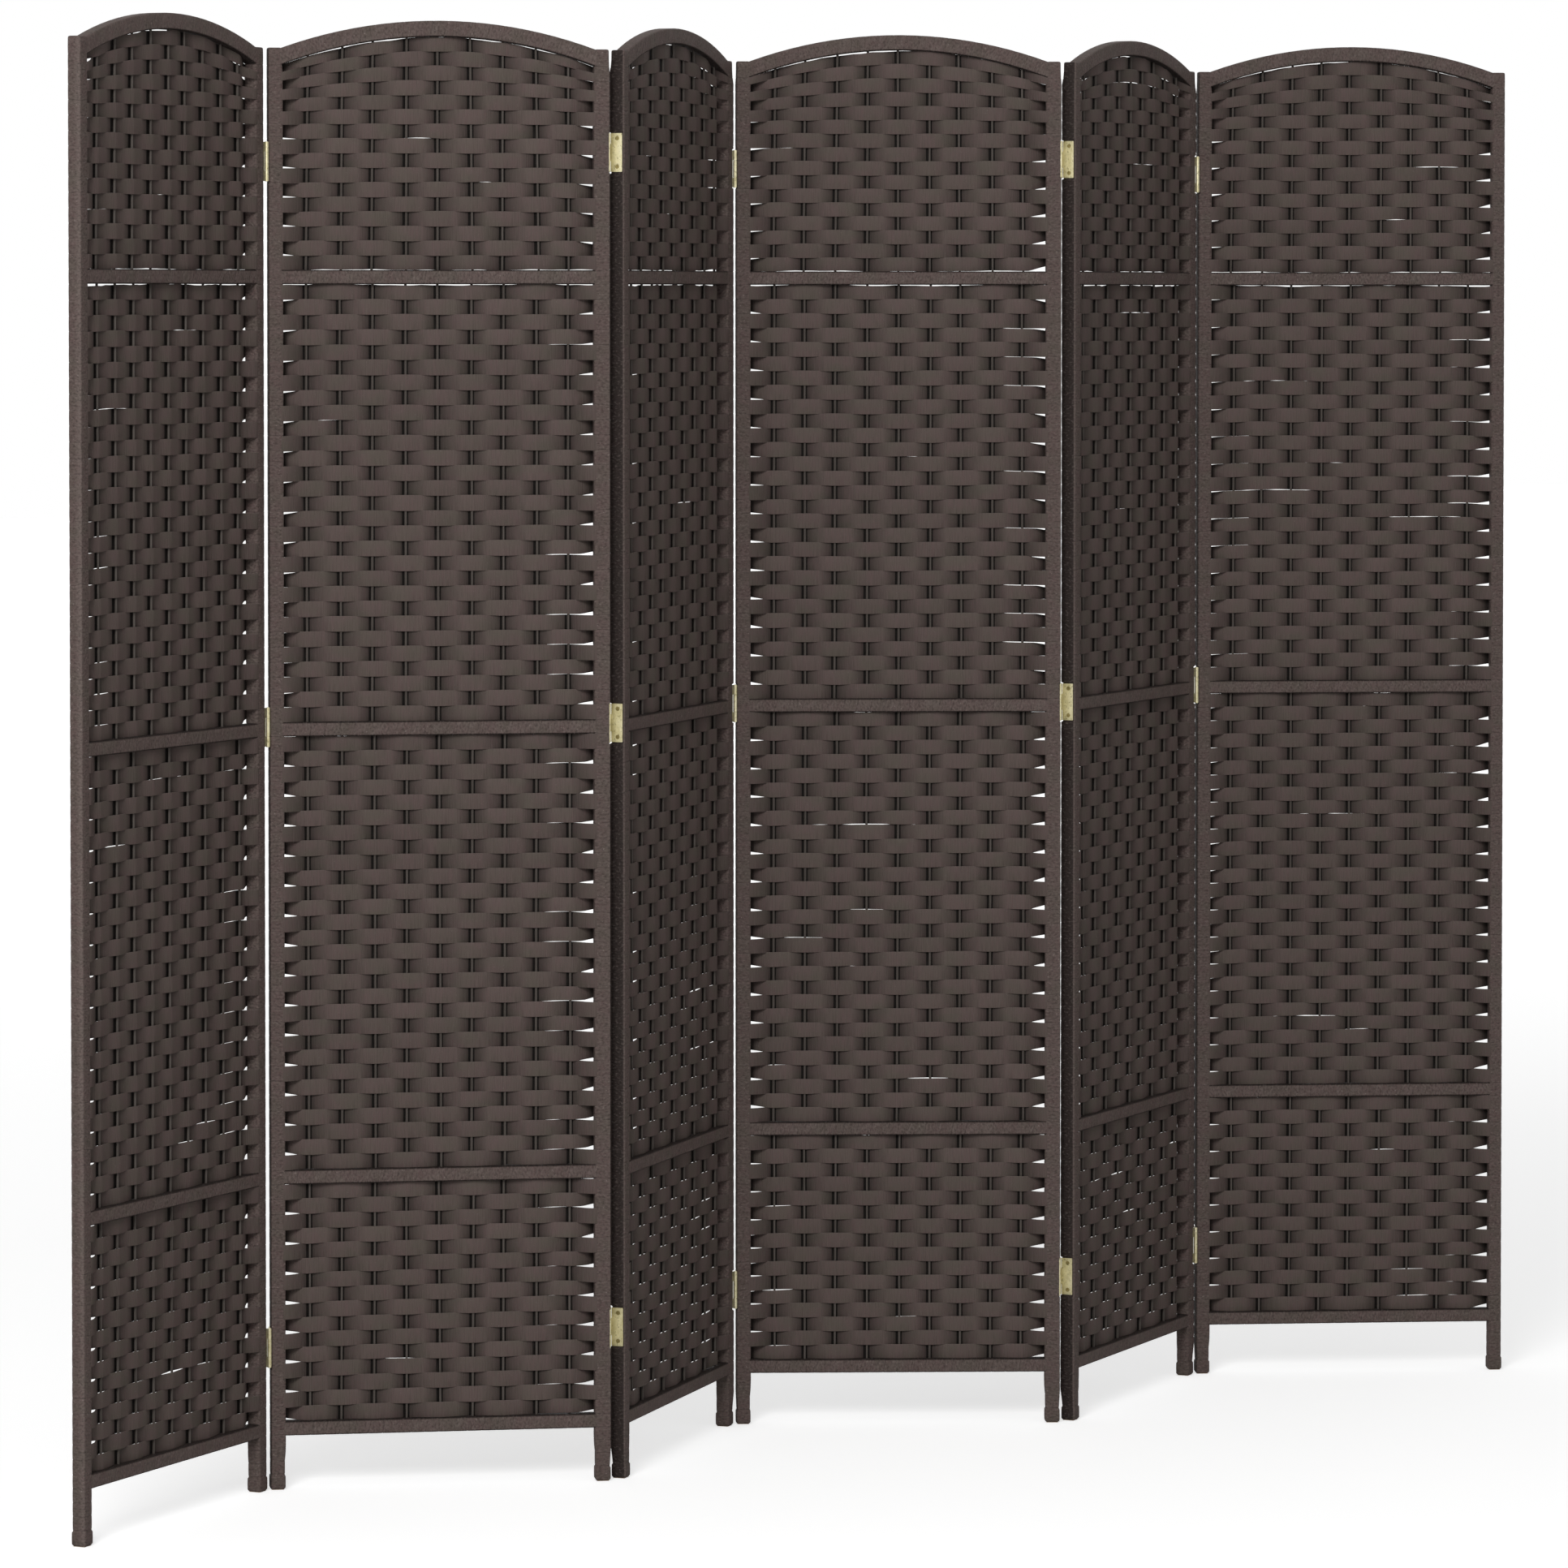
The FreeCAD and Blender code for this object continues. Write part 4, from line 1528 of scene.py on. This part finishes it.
@dataclass
class WoundArch(WoundRail):
    """The fibre sleeve of the arched top rail."""

    name: str = "arch"
    buried: float = 4.3 * MM

    @property
    def size(self) -> float:
        """The bar's size across the weave."""
        return SIZES.arch_height

    @property
    def radius(self) -> float:
        """Radius of the arch's middle line."""
        return SIZES.arch_radius - SIZES.arch_height / 2

    @property
    def ends(self) -> Span:
        """Where the sleeve starts and ends along the arch, from its top."""
        half = self.radius * math.asin((SIZES.half_span + self.buried) / self.radius)
        return -half, half

    def laid(self, along: Array, spread: Array) -> Array:
        """Points of the sleeve in the panel's frame, bent round the arch's centre.

        Args:
            along: Each vertex's place along the arch.
            spread: Its place in the section.

        Returns:
            The points.
        """
        angle = along / self.radius
        reach = self.radius + spread[:, 1]
        x = SIZES.panel_width / 2 + reach * np.sin(angle)
        return np.stack([x, spread[:, 0], SIZES.arch_centre + reach * np.cos(angle)], axis=1)

    def edge_marks(self, spread: Array) -> Array:
        """How much painted shade each vertex gets where the arch's lower edges turn in to the weave."""
        return super().edge_marks(spread) * (spread[:, 1] < 0)


class Dressing:
    """Gives the frame's own pieces their finishes and adds the fibre."""

    def __init__(self) -> None:
        """Make the finishes and the plain tubes that the fibre is shaped from."""
        self.woven = WOVEN_FIBRE.build()
        self.wound = WOUND_FIBRE.build()
        self.cad = {
            "_post": FRAME_WOOD.build(),
            "_stakes": STAKE_WOOD.build(),
            "_leaves": LEAF_BRASS.build(),
            "_pins": PIN_BRASS.build(),
            "_screws": SCREW_BRASS.build(),
        }
        self.cad["_rails"] = self.cad["_post"]
        self.fields = {
            rows: TubePattern(f"strips_{rows}", cuts=(7, 18), sides=8, copies=rows)
            for rows in sorted({zone.rows for zone in zones()})
        }
        self.stakes = TubePattern("stakes", cuts=(2, 2), sides=10, copies=len(zones()) * SIZES.stakes)
        self.post_tube = TubePattern("post_tube", cuts=(22, 20), sides=16)
        self.rail_tube = TubePattern("rail_tube", cuts=(10, 10), sides=16)

    def finish_frame(self) -> None:
        """Put each finish on the frame's pieces whose names end with its key."""
        for name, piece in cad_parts.items():
            for ending, material in self.cad.items():
                if name.endswith(ending):
                    for slot in piece.material_slots:
                        slot.material = material
        LOG.info("finished %d frame pieces", len(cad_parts))

    def dress_panel(self, place: PanelPlace) -> None:
        """Add one panel's weave and windings.

        Args:
            place: Where the panel stands.
        """
        # Each piece of a panel draws from a seed of its own.
        seed = 100 * place.number
        for index, zone in enumerate(zones()):
            self.make(WovenField(place, zone, seed + index), self.fields[zone.rows], self.woven)
        self.make(Stakes(place), self.stakes, self.cad["_stakes"])
        for index, end in enumerate(PostEnd):
            self.make(WoundPost(place, seed + 10 + index, end=end), self.post_tube, self.wound)
        names = ("bottom_rail", "lower_rail", "middle_rail", "upper_rail")
        for index, (name, height) in enumerate(zip(names, SIZES.rail_middles)):
            rail = WoundRail(place, seed + 20 + index, name=name, height=height)
            self.make(rail, self.rail_tube, self.wound)
        self.make(WoundArch(place, seed + 30), self.rail_tube, self.wound)

    @staticmethod
    def make(plan: PanelPiece, pattern: TubePattern, finish: Material) -> None:
        """Build a piece from a plain tube, and log its name and size."""
        piece = plan.build(pattern, finish)
        LOG.info("%s: %d faces", piece.name, len(piece.data.polygons))


@dataclass
class Studio:
    """The pale floor, the soft light and the camera."""

    lens: float = 154.56
    sensor: float = 36.0
    camera_place: Triple = (-4.7574, -6.5747, 1.3826)
    camera_turn: float = -35.868
    camera_pitch: float = 1.8
    camera_shift: float = -0.1765
    floor_size: float = 60.0
    key_side: float = -14.0
    key_distance: float = 7.0
    key_height: float = 4.2
    key_size: float = 3.0
    key_power: float = 280.0
    key_aim: float = 0.85
    sky_strength: float = 0.292
    floor_white: float = 0.9
    floor_lift: Span = (0.56, 0.82)
    floor_fade: Span = (2.0, 11.0)

    def build(self) -> None:
        """Make the whole studio."""
        self._camera()
        self._floor()
        self._sky()
        self._key()

    def _camera(self) -> None:
        """Stand the camera where the photograph was taken from."""
        data = bpy.data.cameras.new("camera")
        data.lens = self.lens
        data.sensor_width = self.sensor
        data.shift_y = self.camera_shift
        data.clip_end = 100
        camera = bpy.data.objects.new("camera", data)
        camera.location = self.camera_place
        tilt = math.radians(90 - self.camera_pitch)
        camera.rotation_euler = (tilt, 0, math.radians(self.camera_turn))
        bpy.context.scene.collection.objects.link(camera)
        bpy.context.scene.camera = camera

    def _floor(self) -> None:
        """Lay a pale floor that shows white to the camera and keeps the screen's shadow."""
        bpy.ops.mesh.primitive_plane_add(size=self.floor_size)
        floor = bpy.context.object
        floor.name = "studio_floor"
        graph = Coat("studio_floor")
        graph.give("Base Color", (self.floor_white,) * 3 + (1,))
        graph.give("Roughness", 0.9)
        graph.give("Emission Color", (1, 1, 1, 1))
        seen = graph.add("LightPath").outputs["Is Camera Ray"]
        away = graph.add("VectorMath", {0: graph.object_place()}, operation="LENGTH")
        lift = graph.spread(away.outputs["Value"], *self.floor_fade, *self.floor_lift)
        graph.give("Emission Strength", graph.maths("MULTIPLY", seen, lift))
        floor.data.materials.append(graph.material)

    def _sky(self) -> None:
        """Surround the screen with even light, and with white for the camera and for gloss."""
        world = bpy.data.worlds.new("studio_sky")
        bpy.context.scene.world = world
        graph = Graph(world, "OutputWorld", "Background")
        path = graph.add("LightPath").outputs
        seen = graph.maths("MAXIMUM", path["Is Camera Ray"], path["Is Glossy Ray"])
        graph.give("Strength", graph.spread(seen, 0, 1, self.sky_strength, 1))
        graph.give("Color", (1, 1, 1, 1))

    def _key(self) -> None:
        """Add one broad soft lamp, high and to the camera's left."""
        data = bpy.data.lights.new("soft_key", "AREA")
        data.shape = "DISK"
        data.size = self.key_size
        data.energy = self.key_power
        lamp = bpy.data.objects.new("soft_key", data)
        turn = math.radians(self.camera_turn + self.key_side)
        lamp.location = Vector((math.sin(turn), -math.cos(turn), 0)) * self.key_distance
        lamp.location.z = self.key_height
        aim = Vector((0, 0, self.key_aim)) - lamp.location
        lamp.rotation_euler = aim.to_track_quat("-Z", "Y").to_euler()
        bpy.context.scene.collection.objects.link(lamp)


def main() -> None:
    """Build the studio, finish the frame and dress the six panels."""
    logging.basicConfig(level=logging.INFO, format="%(message)s")
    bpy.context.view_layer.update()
    bpy.context.scene.view_settings.view_transform = "Standard"
    Studio().build()
    dressing = Dressing()
    dressing.finish_frame()
    for number in range(1, SIZES.panels + 1):
        dressing.dress_panel(PanelPlace.of(number))


if __name__ == "__main__":
    main()
